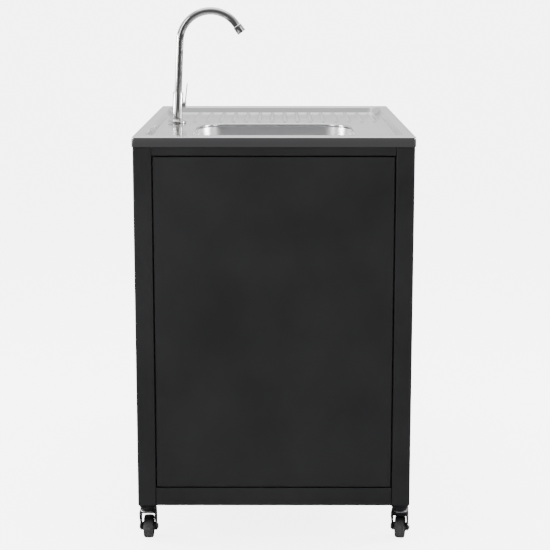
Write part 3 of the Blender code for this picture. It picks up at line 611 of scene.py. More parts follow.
def make_camera():
    camera = bpy.data.objects.new("camera", bpy.data.cameras.new("camera"))
    bpy.context.scene.collection.objects.link(camera)
    camera.location = CAMERA_PLACE
    camera.rotation_euler = (math.pi / 2 - CAMERA_TILT, 0, CAMERA_TURN - math.pi / 2)
    camera.data.lens = CAMERA_LENS
    camera.data.sensor_width = 36
    camera.data.shift_y = CAMERA_SHIFT
    camera.data.clip_start = 0.05
    camera.data.clip_end = 100
    camera.data.dof.use_dof = False
    bpy.context.scene.camera = camera


def make_light(name, place, aim, size, power):
    light = bpy.data.lights.new(name, "AREA")
    light.shape = "RECTANGLE"
    light.size, light.size_y = size
    light.energy = power
    item = bpy.data.objects.new(name, light)
    bpy.context.scene.collection.objects.link(item)
    item.location = place
    item.rotation_euler = (Vector(aim) - Vector(place)).to_track_quat("-Z", "Y").to_euler()


def make_world():
    """A studio that is bright above and behind the object, and dark low on the viewer's side."""
    world = bpy.data.worlds.new("studio")
    world.use_nodes = True
    bpy.context.scene.world = world
    nodes, links = world.node_tree.nodes, world.node_tree.links
    nodes.clear()
    place = nodes.new("ShaderNodeTexCoord")
    dot = nodes.new("ShaderNodeVectorMath")
    dot.operation = "DOT_PRODUCT"
    dot.inputs[1].default_value = Vector((0.50, 0.10, 0.86)).normalized()
    links.new(place.outputs["Generated"], dot.inputs[0])
    ramp = nodes.new("ShaderNodeValToRGB")
    ramp.color_ramp.elements[0].position = 0.22
    ramp.color_ramp.elements[0].color = (0.11, 0.11, 0.112, 1)
    ramp.color_ramp.elements[1].position = 0.78
    ramp.color_ramp.elements[1].color = (1.30, 1.30, 1.32, 1)
    middle = ramp.color_ramp.elements.new(0.60)
    middle.color = (0.27, 0.27, 0.28, 1)
    spread = nodes.new("ShaderNodeMapRange")
    spread.inputs["From Min"].default_value = -1
    links.new(dot.outputs["Value"], spread.inputs["Value"])
    links.new(spread.outputs["Result"], ramp.inputs["Fac"])
    studio = nodes.new("ShaderNodeBackground")
    links.new(ramp.outputs["Color"], studio.inputs["Color"])
    studio.inputs["Strength"].default_value = 1.0
    plain = nodes.new("ShaderNodeBackground")
    plain.inputs["Color"].default_value = (1.0, 1.0, 1.0, 1)
    plain.inputs["Strength"].default_value = FLOOR_GLOW
    path = nodes.new("ShaderNodeLightPath")
    mix = nodes.new("ShaderNodeMixShader")
    links.new(path.outputs["Is Camera Ray"], mix.inputs["Fac"])
    links.new(studio.outputs["Background"], mix.inputs[1])
    links.new(plain.outputs["Background"], mix.inputs[2])
    output = nodes.new("ShaderNodeOutputWorld")
    links.new(mix.outputs["Shader"], output.inputs["Surface"])


def make_floor():
    """A wide pale floor that the steel doesn't mirror, as a lit backdrop would not show in it."""
    made = bmesh.new()
    bmesh.ops.create_circle(made, cap_ends=True, segments=64, radius=30)
    pale = new_material("floor", (0.93, 0.93, 0.93), 0.8)
    drive_roughness(pale, noise(pale, 40, detail=3), 0.75, 0.85)
    nodes, links = pale.node_tree.nodes, pale.node_tree.links
    path = nodes.new("ShaderNodeLightPath")
    glow = nodes.new("ShaderNodeMath")
    glow.operation = "MULTIPLY"
    glow.inputs[1].default_value = FLOOR_GLOW - 1.0
    links.new(path.outputs["Is Camera Ray"], glow.inputs[0])
    shader = nodes["Principled BSDF"]
    shader.inputs["Emission Color"].default_value = (1, 1, 1, 1)
    links.new(glow.outputs["Value"], shader.inputs["Emission Strength"])
    floor = new_piece("floor", made, pale)
    floor.location.z = -0.0002
    floor.visible_glossy = False
    floor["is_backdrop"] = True


def make_studio():
    make_camera()
    make_world()
    make_floor()
    make_light("key_left", (-1.9, 2.3, 1.9), (0, 0, 0.75), (0.7, 2.0), 34)
    make_light("fill_right", (-1.7, -2.4, 1.8), (0, 0, 0.75), (0.6, 2.0), 18)
    make_light("low_left", (0.05, 2.3, 1.20), (0.05, -0.1, 0.87), (0.5, 0.5), 55)
    make_light("low_right", (0.05, -2.3, 1.20), (0.05, 0.1, 0.87), (0.5, 0.5), 55)
    make_light("overhead", (0.5, 0.0, 3.2), (0, 0, 0.9), (2.4, 2.4), 30)


# ---------------------------------------------------------------- worktop and bowl


def make_worktop():
    """The pressed top with rounded bends, a hem under the apron and a turned-down bowl edge."""
    half_x, half_y, top = TOP_HIGH.x, TOP_HIGH.y, TOP_HIGH.z
    low = top - 0.022
    loops = []
    outer = [
        (0.005, low + 0.0013, 0),
        (0, low + 0.0004, 0.0006),
        (0, top, 0.0030),
        (0.010, top, 0),
    ]
    for inset, height in rounded(outer, 5):
        corner = max(0.006 - inset, 0.003)
        loops.append(at_height(rectangle(half_x - inset, half_y - inset, corner), height))
    in_x, in_y = half_x - END_RIM, half_y - SIDE_RIM
    inner = [
        (-0.006, top, 0),
        (0, top, 0.0035),
        (RECESS_SLOPE, DECK, 0.0045),
        (RECESS_SLOPE + 0.006, DECK, 0),
    ]
    for inset, height in rounded(inner, 5):
        loops.append(at_height(rectangle(in_x - inset, in_y - inset, 0.032 - inset * 0.5), height))
    edge = [(0.010, DECK, 0), (0, DECK, 0.0045), (0, DECK - 0.0078, 0)]
    for outset, height in rounded(edge, 5):
        outline = rectangle(BOWL_HALF[0] + outset, BOWL_HALF[1] + outset, BOWL_CORNER + outset)
        loops.append(at_height(outline, height, (BOWL_X, 0)))
    skin = shell(lofted("worktop_skin", loops, WORKTOP_STEEL), SHEET)
    show(skin, "cabinet", "worktop_steel", "worktop")


def make_ribs():
    """Drainboard ribs: smooth swells in the deck that run out into the far end's slope."""
    far = TOP_HIGH.x - END_RIM - RECESS_SLOPE + 0.0045
    along_count, across_count = 40, 12
    taper = 0.016
    sunk = 0.00025
    made = bmesh.new()
    for rib in range(RIB_COUNT):
        middle = RIB_FIRST_Y + rib * RIB_PITCH
        grid = []
        for i in range(along_count + 1):
            t = (i / along_count) ** 1.6
            x = RIB_START + (far - RIB_START) * t
            rise = min((x - RIB_START) / taper, 1)
            swell = math.sin(rise * math.pi / 2) ** 2
            width = RIB_HALF_WIDTH * (0.35 + 0.65 * math.sqrt(swell))
            row = []
            for j in range(across_count + 1):
                s = 2 * j / across_count - 1
                dome = math.cos(s * math.pi / 2) ** 2
                height = DECK - sunk + (RIB_HEIGHT + sunk) * dome * swell
                row.append(made.verts.new((x, middle + s * width, height)))
            grid.append(row)
        for row, following in zip(grid, grid[1:]):
            for j in range(across_count):
                made.faces.new((row[j], following[j], following[j + 1], row[j + 1]))
    show(new_piece("drainboard_ribs", made, WORKTOP_STEEL, 60), "cabinet", "worktop_steel")


def make_bowl():
    """The drawn bowl: a wide fillet round its floor, which falls a little to the strainer."""
    clear = SHEET + 0.0004
    top = DECK - SHEET - 0.0003
    drain = 0.0575
    floor_loop = rectangle(drain, drain, drain)
    profile = [
        (0.014, top, 0),
        (0, top, 0.0015),
        (-0.010, BOWL_FLOOR + 0.003, 0.026),
        (-0.090, BOWL_FLOOR + 0.0008, 0),
    ]
    loops = []
    for outset, height in rounded(profile, 9):
        half_x, half_y = BOWL_HALF[0] + clear + outset, BOWL_HALF[1] + clear + outset
        corner = max(BOWL_CORNER + outset * 0.4, 0.04)
        loops.append(at_height(rectangle(half_x, half_y, corner), height, (BOWL_X, 0)))
    loops.append(at_height(floor_loop, BOWL_FLOOR + 0.0002, (BOWL_X, 0)))
    loops.append(at_height(rectangle(*(DRAIN_HOLE,) * 3), BOWL_FLOOR - 0.0002, (BOWL_X, 0)))
    skin = shell(lofted("bowl_skin", loops, BOWL_STEEL), SHEET)
    show(skin, "cabinet", "bowl_steel", "sink_bowl")


def make_drain():
    """The strainer's dished flange and cup, its basket, the lock nut and the tailpiece."""
    place = Matrix.Translation((BOWL_X, 0, 0))
    top = BOWL_FLOOR + 0.0015
    cup, cup_floor, outlet = 0.0422, BOWL_FLOOR - 0.048, 0.019
    flange = [
        (0.0550, BOWL_FLOOR + 0.0004), (0.0530, BOWL_FLOOR + 0.0003),
        (cup, BOWL_FLOOR + 0.0003), (cup, cup_floor + 0.004), (cup - 0.004, cup_floor),
        (outlet, cup_floor - 0.004), (outlet, 0.638), (outlet - 0.0015, 0.638),
        (outlet - 0.0015, cup_floor - 0.0024), (cup - 0.0050, cup_floor + 0.0014),
        (cup - SHEET, cup_floor + 0.0052), (cup - SHEET, BOWL_FLOOR - 0.003),
        (cup - 0.0006, BOWL_FLOOR - 0.001), (cup + 0.002, top - 0.0008), (0.0500, top),
        (0.0540, top - 0.0002), (0.0549, top - 0.0006),
    ]
    strainer = turned("strainer_fine", flange, BOWL_STEEL, place, 72)
    show(strainer, "cabinet", "bowl_steel", "strainer_body")
    make_basket(place)
    nut_profile = [
        (0.0515, BOWL_FLOOR - SHEET - 0.0006), (0.0520, 0.7015), (0.0520, 0.6925),
        (0.0505, 0.6905), (cup + 0.0005, 0.6905), (cup + 0.0005, BOWL_FLOOR - SHEET - 0.0006),
    ]
    nut = turned("drain_nut_fine", nut_profile, BLACK_PLASTIC, place, 72)
    show(nut, "cabinet", "black_plastic", "drain_locknut")
    tail_profile = [
        (0.0222, 0.6500), (0.0225, 0.6490), (0.0225, 0.6350), (0.0215, 0.6340),
        (0.0180, 0.6325), (0.0165, 0.6290), (0.0165, 0.6010), (0.0160, 0.6002),
        (0.0150, 0.6002), (0.0150, 0.6365), (outlet + 0.0005, 0.6375),
        (outlet + 0.0005, 0.6500),
    ]
    tail = turned("tailpiece_fine", tail_profile, BLACK_PLASTIC, place, 48)
    show(tail, "cabinet", "black_plastic", "drain_tailpiece")


def make_basket(place):
    """The lift-out basket, with two rings of holes in its floor."""
    floor = BOWL_FLOOR - 0.0465
    rim = BOWL_FLOOR + 0.001
    knob = BOWL_FLOOR + 0.010
    profile = [
        (0, knob), (0.0060, knob - 0.0002), (0.0082, knob - 0.0014), (0.0090, knob - 0.0036),
        (0.0090, knob - 0.0068), (0.0076, knob - 0.0092), (0.0042, knob - 0.0110),
        (0.0036, knob - 0.0200), (0.0036, floor + 0.0030), (0.0060, floor + 0.0002),
        (0.0290, floor), (0.0318, floor + 0.0016), (0.0325, floor + 0.0040),
        (0.0372, rim - 0.0030), (0.0380, rim - 0.0008), (0.0392, rim), (0.0402, rim - 0.0003),
        (0.0402, rim - 0.0012), (0.0390, rim - 0.0014), (0.0382, rim - 0.0034),
        (0.0336, floor + 0.0036), (0.0327, floor + 0.0004), (0.0296, floor - 0.0012),
        (0, floor - 0.0012),
    ]
    basket = turned("basket_fine", profile, BOWL_STEEL, None, 60)
    holes = bmesh.new()
    for count, ring, radius in ((10, 0.0135, 0.0022), (16, 0.0225, 0.0024)):
        for spot in circle(ring, floor, count):
            add_peg(holes, radius, 0.008, 16, Matrix.Translation(spot))
    combine(basket, new_piece("basket_holes", holes, BOWL_STEEL), "DIFFERENCE")
    finish_cut(basket)
    basket.data.transform(place)
    show(basket, "strainer_basket", "bowl_steel", "strainer_basket")


def finish_cut(item, angle=35):
    """Shades a piece again after a cut."""
    item.data.shade_smooth()
    item.data.set_sharp_from_angle(angle=math.radians(angle))
    return item


# ---------------------------------------------------------------- tap


def axis_frame(point, up, forward):
    """A placement with its Z along up and its X as near to forward as it can be."""
    up = Vector(up).normalized()
    forward = Vector(forward)
    across = up.cross(forward).normalized()
    turn = Matrix((across.cross(up), across, up)).transposed()
    return Matrix.Translation(point) @ turn.to_4x4()


def tap_place():
    joint = JOINTS["spout_swivel"]
    up = Vector(joint["axis"]).normalized()
    point = Vector(joint["pos_m"])
    base = point - up * ((point.z - DECK) / up.z)
    return axis_frame(base, up, (1, 0, 0))


def make_tap():
    place = tap_place()
    flange = [
        (0.0142, 0.0100), (0.0150, 0.0098), (0.0165, 0.0084), (0.0205, 0.0066),
        (0.0221, 0.0052), (0.0225, 0.0036), (0.0225, 0.0018), (0.0221, 0.0015),
        (0.0096, 0.0015), (0.0096, 0.0100),
    ]
    show(turned("tap_flange_fine", flange, TAP_STEEL, place), "cabinet", "tap_steel", "tap_flange")
    body = [
        (0, BODY_TOP - 0.014), (SPOUT_RADIUS + 0.0003, BODY_TOP - 0.014),
        (SPOUT_RADIUS + 0.0003, BODY_TOP - 0.0006), (SPOUT_RADIUS + 0.0008, BODY_TOP),
        (BODY_RADIUS - 0.0009, BODY_TOP), (BODY_RADIUS - 0.0003, BODY_TOP - 0.0003),
        (BODY_RADIUS, BODY_TOP - 0.0010), (BODY_RADIUS, 0.0125), (BODY_RADIUS - 0.0010, 0.0112),
        (0.0100, 0.0104), (0.0090, 0.0103), (0.0090, SHANK_LOW + 0.0010), (0.0084, SHANK_LOW),
        (0, SHANK_LOW),
    ]
    boss = [
        (0, 0.0150), (0.0070, 0.0150), (0.0078, 0.0144), (0.0080, 0.0136), (0.0080, 0.0060),
        (0, 0.0060),
    ]
    front = place @ Matrix.Translation((0, 0, VALVE_HEIGHT)) @ ON_ITS_SIDE
    barrel = turned("tap_body_fine", body, TAP_STEEL, place)
    combine(barrel, turned("boss", boss, TAP_STEEL, front, 48), "UNION")
    show(finish_cut(barrel), "cabinet", "tap_steel", "tap_body")
    make_lever(place, front)
    make_spout(place)
    nut_outlines = [arc((0, 0), 0.0165, 60, 360, 5), arc((0, 0), 0.0097, 7.5, 360, 47)]
    nut = prism("tap_nut_fine", nut_outlines, -0.0120, -0.0026, ZINC, place)
    show(bevel(nut, 0.0008), "cabinet", "zinc_steel", "tap_nut")


def make_lever(place, front):
    """A round hub and a slim blade that tapers upwards and leans away from the body."""
    hub = [
        (0, 0.0204), (0.0050, 0.0204), (0.0074, 0.0200), (0.0084, 0.0190), (0.0085, 0.0180),
        (0.0085, 0.0158), (0.0080, 0.0153), (0, 0.0153),
    ]
    lever = turned("tap_lever_fine", hub, TAP_STEEL, front, 48)
    made = bmesh.new()
    rings = []
    count = 12
    for i in range(count + 1):
        t = i / count
        height = VALVE_HEIGHT + 0.054 * t
        out = 0.0182 + 0.0032 * t**1.4
        half = 0.0044 - 0.0012 * t
        thick = 0.0014 - 0.0004 * t
        if i == count:
            half, thick = half * 0.6, thick * 0.6
        outline = rectangle(half, thick, thick * 0.9, 3)
        rings.append([made.verts.new((x, -out + y, height)) for x, y in outline])
    for lower, upper in zip(rings, rings[1:]):
        for i in range(len(lower)):
            j = (i + 1) % len(lower)
            made.faces.new((lower[i], lower[j], upper[j], upper[i]))
    made.faces.new(list(reversed(rings[0])))
    made.faces.new(rings[-1])
    made.transform(place)
    combine(lever, new_piece("lever_blade", made, TAP_STEEL), "UNION")
    show(finish_cut(lever, 40), "tap_lever", "tap_steel", "tap_lever")


def make_spout(place):
    centre = TAP_HEIGHT - ARC_RADIUS - SPOUT_RADIUS
    foot = BODY_TOP - 0.0135
    line = [Vector((0, 0, foot + (centre - foot) * i / 8)) for i in range(8)]
    count = 56
    for i in range(count + 1):
        turn = ARC_SWEEP * i / count
        line.append(Vector((0, ARC_RADIUS * (math.cos(turn) - 1), centre + ARC_RADIUS * math.sin(turn))))
    along = Vector((0, -math.sin(ARC_SWEEP), math.cos(ARC_SWEEP)))
    line.append(line[-1] + along * 0.005)
    spout = swept("tap_spout_fine", [place @ point for point in line], SPOUT_RADIUS, TAP_STEEL, 48)
    show(spout, "spout", "tap_steel", "tap_spout")
    end = line[-1]
    profile = [
        (0, -0.0003), (0.0098, -0.0003), (0.0106, -0.0010), (0.0108, -0.0020),
        (0.0108, -0.0052), (0.0103, -0.0057), (0.0103, -0.0066), (0.0108, -0.0071),
        (0.0108, -0.0188), (0.0104, -0.0197), (0.0098, -0.0200), (0.0086, -0.0198),
        (0.0083, -0.0190), (0.0083, -0.0172), (0, -0.0172),
    ]
    tip = place @ axis_frame(end, -along, (1, 0, 0))
    aerator = turned("aerator_fine", profile, TAP_STEEL, tip, 48)
    show(aerator, "spout", "tap_steel", "tap_aerator")
    screen = bmesh.new()
    for angle in circle_angles(10):
        for ring in (0.0030, 0.0058):
            spot = (ring * math.cos(angle), ring * math.sin(angle), -0.0178)
            add_peg(screen, 0.0007, 0.0016, 10, tip @ Matrix.Translation(spot))
    show(new_piece("aerator_screen", screen, BLACK_PLASTIC), "spout", "black_plastic")


# ---------------------------------------------------------------- cabinet


def keep_node(name, material, width):
    """A CAD node with softened edges and its finish."""
    item = frame["nodes"][name]
    item.data.materials.clear()
    item.data.materials.append(material)
    modifier = item.modifiers.new("Weld", "WELD")
    modifier.merge_threshold = 0.00002
    if width:
        bevel(item, width, 2)


def make_cabinet():
    painted = {
        "top_rail": 0.0008,
        "side_panel": 0.0009,
        "back_panel": 0.0009,
        "base_pan": 0.0009,
        "post_": 0.0004,
    }
    for name in frame["nodes"]:
        for start, width in painted.items():
            if name.startswith(start):
                keep_node(name, BLACK_PAINT, width)
    for side in ("left", "right"):
        keep_node(f"door_{side}", BLACK_PAINT, 0.0005)
        keep_node(f"hinge_rod_{side}", ZINC, 0)
        make_pull(side)
    keep_node("door_catch", BLACK_PLASTIC, 0.0012)
    make_catch_magnets()
    # dark strips behind the panel grooves, as painted shade
    make_groove_shade_strips()


def make_groove_shade_strips():
    """Dark rubber strips behind the grooves round the end and back panels, which keep out light: dark
    sheets that paint the shade in the grooves.
    """
    deep, thick, cover = 0.0008, 0.0024, 0.007
    for name in ("side_panel_left", "side_panel_right", "back_panel"):
        low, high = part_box(name)
        across, depth = (1, 0) if name.startswith("side") else (0, 1)
        inward = -1 if (low[depth] + high[depth]) > 0 else 1
        start = (high[depth] if inward > 0 else low[depth]) + inward * deep
        near, far = sorted((start, start + inward * thick))
        half = (high[across] - low[across]) / 2
        middle = (high.z + low.z) / 2
        tall = (high.z - low.z) / 2
        outer = rectangle(half + 0.0028, tall + 0.0027, 0.0003, 2)
        inner = rectangle(half - cover, tall - cover, 0.0005, 2)
        x_axis, y_axis = (1, 0, 0), (0, 1, 0)
        through, along = (x_axis, y_axis) if across else (y_axis, x_axis)
        place = axis_frame((0, 0, middle), through, along)
        # each strip is a dark sheet behind a groove: painted shade where the groove would be shaded
        strip = prism(f"{name}_groove_shade", [outer, inner], near, far, RUBBER, place)
        show(strip, "cabinet", "black_plastic")


def make_pull(side):
    """A recessed finger cup with a soft lip."""
    low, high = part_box(f"door_pull_{side}")
    middle = (low + high) / 2
    half_x, half_z = (high.x - low.x) / 2, (high.z - low.z) / 2
    front, back = low.y, high.y - SHEET
    rim = 0.0055
    profile = [
        (0.0006, 0.0013, 0), (0.0, 0.0009, 0.0005), (0.0014, 0.0, 0.0012), (rim, 0.0, 0.0012),
        (rim + 0.0016, back - front, 0.0035), (rim + 0.008, back - front, 0),
    ]
    loops = []
    for inset, depth in rounded(profile, 4):
        corner = max(0.012 - inset * 0.9, 0.004)
        outline = rectangle(half_x - inset, half_z - inset, corner, 8)
        loops.append([(middle.x + x, front + depth, middle.z + z) for x, z in outline])
    cup = lofted(f"door_pull_{side}_fine", loops, BLACK_PLASTIC, cap=True)
    show(shell(cup, 0.0008), f"door_{side}", "black_plastic", f"door_pull_{side}")


def make_catch_magnets():
    """Two steel-faced magnets on the catch, one for each door."""
    low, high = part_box("door_catch")
    for sign in (-1, 1):
        x = sign * 0.0115
        plate = block(
            f"catch_magnet_{'left' if sign < 0 else 'right'}",
            (x - 0.0085, low.y - 0.0006, low.z + 0.003),
            (x + 0.0085, low.y + 0.004, high.z - 0.003),
            ZINC,
            0.0005,
            2,
        )
        show(plate, "cabinet", "zinc_steel")


# ---------------------------------------------------------------- casters


def make_casters():
    for side_y in ("front", "rear"):
        for side_x in ("left", "right"):
            name = f"caster_{side_y}_{side_x}"
            swivel = Vector(JOINTS[f"{name}_swivel_turn"]["pos_m"])
            axle = Vector(JOINTS[f"{name}_wheel_roll"]["pos_m"])
            forward = Vector((axle.x - swivel.x, axle.y - swivel.y, 0))
            place = axis_frame((swivel.x, swivel.y, 0), (0, 0, 1), forward)
            make_stem(name, place)
            make_fork(name, place, forward.length, axle.z)
            make_wheel(name, place @ Matrix.Translation((forward.length, 0, axle.z)))
            if side_y == "front":
                make_pedal(name, Vector(JOINTS[f"{name}_brake"]["pos_m"]).z, place)


def make_stem(name, place):
    """The bearing head with its grooves, and the plug that grips the post."""
    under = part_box("post_rear_left")[0].z - 0.0003
    profile = [
        (0, 0.130), (0.0055, 0.130), (0.0060, 0.1295), (0.0060, 0.112), (0.0172, 0.112),
        (0.0178, 0.1114), (0.0178, under), (0.0192, under), (0.0195, under - 0.0004),
        (0.0195, under - 0.0020), (0.0187, under - 0.0026), (0.0187, under - 0.0036),
        (0.0195, under - 0.0042), (0.0195, under - 0.0066), (0.0187, under - 0.0074),
        (0.0178, 0.0785), (0.0160, 0.0745), (0.0120, 0.0745), (0.0120, 0.0717), (0, 0.0717),
    ]
    stem = turned(f"{name}_stem_fine", profile, CASTER_BLACK, place, 56)
    show(stem, "cabinet", "black_plastic", f"{name}_stem")


def make_fork(name, place, trail, axle_height):
    """A moulded fork: a hood over the wheel with rounded cheeks down to the axle."""
    half_width = 0.0180
    leg = 0.0024
    top = 0.0712
    end = arc((trail, axle_height), 0.0090, 20, -150, 16)
    profile = [(-0.0185, top - 0.0005, 0), (-0.0185, 0.064, 0.006), (-0.006, 0.046, 0.008)]
    outline = rounded([*profile, (end[-1][0], end[-1][1], 0)], 5)
    outline += list(reversed(end))[1:]
    outline += rounded([(0.0268, axle_height + 0.006, 0), (0.0275, 0.050, 0.010), (0.0205, top, 0)], 5)
    upright = place @ ON_ITS_SIDE
    fork = prism(f"{name}_fork_fine", [outline], -half_width, half_width, CASTER_BLACK, upright)
    room_outline = rectangle(half_width - leg, 0.050, 0.0015, 4)
    along = axis_frame((0, 0, top - 0.0022 - 0.050), (1, 0, 0), (0, 1, 0))
    room = prism("room", [room_outline], -0.06, 0.07, CASTER_BLACK, place @ along)
    combine(fork, room, "DIFFERENCE")
    bore = [(0, 0.05), (0.0045, 0.05), (0.0045, -0.05), (0, -0.05)]
    across = place @ Matrix.Translation((trail, 0, axle_height)) @ ON_ITS_SIDE
    combine(fork, turned("bore", bore, CASTER_BLACK, across, 24), "DIFFERENCE")
    finish_cut(fork, 30)
    show(bevel(fork, 0.0007, 2, 40), f"{name}_swivel", "black_plastic", f"{name}_fork")
    make_axle(name, across, half_width + 0.0003)
    ring_profile = [
        (0.0168, top + 0.0003), (0.0172, top - 0.0001), (0.0172, top - 0.0006),
        (0.0120, top - 0.0006), (0.0120, top + 0.0003),
    ]
    race = turned(f"{name}_race", ring_profile, ZINC, place, 48)
    show(race, f"{name}_swivel", "zinc_steel")


def make_axle(name, across, leg):
    """The axle bolt: a domed head on one side, a plated lock nut on the other."""
    bolt_profile = [
        (0, leg + 0.0030), (0.0030, leg + 0.0029), (0.0056, leg + 0.0022),
        (0.0068, leg + 0.0008), (0.0068, leg), (0.0040, leg), (0.0040, -leg - 0.0024),
        (0.0034, -leg - 0.0030), (0, -leg - 0.0030),
    ]
    bolt = turned(f"{name}_bolt_fine", bolt_profile, ZINC, across, 32)
    show(bolt, f"{name}_swivel", "zinc_steel", f"{name}_axle")
    outline = [arc((0, 0), 0.0068, 60, 360, 5), arc((0, 0), 0.0042, 15, 360, 23)]
    nut = prism(f"{name}_nut", outline, -leg - 0.0026, -leg, ZINC, across)
    show(bevel(nut, 0.0004, 2), f"{name}_swivel", "zinc_steel")


def make_wheel(name, centre):
    """A soft tread with rounded shoulders on a dished hub."""
    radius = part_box(f"{name}_wheel")[1].z - centre.translation.z
    radius = min(radius, centre.translation.z)
    half = 0.0110
    boss = 0.0148
    side = [
        (0.0045, boss), (0.0086, boss), (0.0092, boss - 0.0006), (0.0096, half - 0.0012),
        (0.0110, half - 0.0026), (0.0158, half - 0.0026), (0.0168, half - 0.0020),
        (0.0178, half - 0.0002), (0.0192, half), (0.0222, half - 0.0002),
        (0.0244, half - 0.0014), (radius - 0.0004, half - 0.0042), (radius, half - 0.0070),
    ]
    profile = [*side, *[(r, -h) for r, h in reversed(side)]]
    lying = centre @ ON_ITS_SIDE
    wheel = turned(f"{name}_tread_fine", profile, RUBBER, lying, 72)
    show(wheel, f"{name}_wheel", "wheel_rubber", f"{name}_wheel")
    spokes = bmesh.new()
    for angle in circle_angles(5):
        for sign in (-1, 1):
            out = Matrix.Translation((0.0130, 0, sign * (half - 0.0028)))
            turn = lying @ Matrix.Rotation(angle, 4, "Z") @ out
            add_bar(spokes, (0.0085, 0.0022, 0.0024), turn)
    round_edges(spokes, 0.0004, 2)
    show(new_piece(f"{name}_spokes", spokes, CASTER_BLACK), f"{name}_wheel", "black_plastic")


def make_pedal(name, height, place):
    """The brake pedal: a rounded outline made into a bar with softened edges."""
    outline = [(-0.004, 0.004, 0), (-0.004, -0.0035, 0), (0.022, -0.0035, 0.004), (0.031, -0.0010, 0.006)]
    outline += [(0.044, 0.0024, 0.001), (0.043, 0.0056, 0.001), (0.030, 0.0036, 0.006), (-0.004, 0.004, 0)]
    shape = rounded(outline, 4)[:-1]
    upright = place @ Matrix.Translation((0, 0, height)) @ ON_ITS_SIDE
    half = 0.0152
    pedal = prism(f"{name}_pedal_fine", [shape], -half, half, CASTER_BLACK, upright)
    show(bevel(pedal, 0.0006, 2, 40), f"{name}_pedal", "black_plastic", f"{name}_pedal")


# ---------------------------------------------------------------- tanks, pump, battery and hoses


def tank_side(inset):
    """Insets and heights of the tank's wall, with moulded grooves round it."""
    r = TANK_ROUNDING - inset
    low, high = inset, TANK_HIGH - inset
    slope = [(0.004, 0.0021), (0.007, 0.0004), (0.011, 0)]
    groove = [*[(-lift, depth) for lift, depth in reversed(slope)], *slope]
    profile = [(inset + r, low)]
    for i in range(1, 9):
        a = math.radians(90 * i / 8)
        profile.append((inset + r * (1 - math.sin(a)), low + r * (1 - math.cos(a))))
    for middle in (0.095, 0.170, 0.245):
        for lift, depth in groove:
            profile.append((inset + depth, middle + lift))
    for i in range(9):
        a = math.radians(90 * i / 8)
        profile.append((inset + r * (1 - math.cos(a)), high - r * (1 - math.sin(a))))
    return profile


def tank_body(name, inset, material, place):
    loops = []
    for sink, height in tank_side(inset):
        corner = max(TANK_ROUNDING + 0.004 - sink, 0.006)
        outline = rectangle(TANK_HALF[0] - sink, TANK_HALF[1] - sink, corner, 8)
        loops.append(at_height(outline, height))
    body = lofted(name, loops, material, cap=True, cap_start=True, smooth_angle=50)
    body.data.transform(place)
    return body


def make_tank(name, material, slot):
    place = Matrix.Translation((*middle_of(name)[:2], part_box(name)[0].z))
    over_neck = place @ Matrix.Translation((0, NECK_Y, 0))
    tank = tank_body(f"{name}_fine", 0.0, material, place)
    neck_profile = [(0, NECK_TOP - 0.0004)]
    neck_profile += [(NECK_RADIUS - 0.0024, NECK_TOP), (NECK_RADIUS - 0.0016, NECK_TOP - 0.0006)]
    for i in range(4):
        height = NECK_TOP - 0.0035 - 0.0036 * i
        neck_profile += [
            (NECK_RADIUS - 0.0016, height),
            (NECK_RADIUS - 0.0001, height - 0.0008),
            (NECK_RADIUS - 0.0001, height - 0.0014),
            (NECK_RADIUS - 0.0016, height - 0.0022),
        ]
    neck_profile += [
        (NECK_RADIUS - 0.0004, TANK_HIGH + 0.0022),
        (NECK_RADIUS, TANK_HIGH - 0.010),
        (0, TANK_HIGH - 0.010),
    ]
    combine(tank, turned("neck", neck_profile, material, over_neck), "UNION")
    handle_line = [place @ Vector(point) for point in smooth_route(HANDLE, 6)]
    combine(tank, swept("handle", handle_line, 0.0089, material, 28), "UNION")
    combine(tank, tank_body("cavity", TANK_WALL, material, place), "DIFFERENCE")
    bore_top, bore_low = NECK_TOP + 0.01, TANK_HIGH - 0.02
    bore_profile = [(0, bore_top), (NECK_BORE, bore_top), (NECK_BORE, bore_low), (0, bore_low)]
    combine(tank, turned("neck_bore", bore_profile, material, over_neck), "DIFFERENCE")
    show(finish_cut(tank, 40), "cabinet", slot, name)


def make_cap(name, hose_radius):
    """A screw cap with a ribbed grip."""
    low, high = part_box(name)
    middle = (low + high) / 2
    top = high.z
    outer = (high.x - low.x) / 2
    inside = NECK_RADIUS + 0.0007
    hole = hose_radius + 0.001
    profile = [
        (outer - 0.0040, top), (outer - 0.0022, top - 0.0004), (outer - 0.0012, top - 0.0016),
        (outer - 0.0010, top - 0.0030), (outer - 0.0010, low.z + 0.0006),
        (outer - 0.0014, low.z), (inside, low.z), (inside, top - 0.0030), (hole, top - 0.0030),
        (hole, top - 0.0010), (hole + 0.0010, top - 0.0004), (hole + 0.0030, top - 0.0004),
        (hole + 0.0036, top),
    ]
    place = Matrix.Translation((middle.x, middle.y, 0))
    cap = turned(f"{name}_fine", profile, BLACK_PLASTIC, place, 72)
    show(cap, name, "black_plastic", name)
    ribs = bmesh.new()
    rib_high = top - low.z - 0.0050
    for angle in circle_angles(40):
        turn = place @ Matrix.Rotation(angle, 4, "Z")
        turn = turn @ Matrix.Translation((outer - 0.0008, 0, low.z + 0.0010 + rib_high / 2))
        add_bar(ribs, (0.0014, 0.0020, rib_high), turn)
    round_edges(ribs, 0.0003, 1)
    show(new_piece(f"{name}_ribs", ribs, BLACK_PLASTIC), name, "black_plastic")


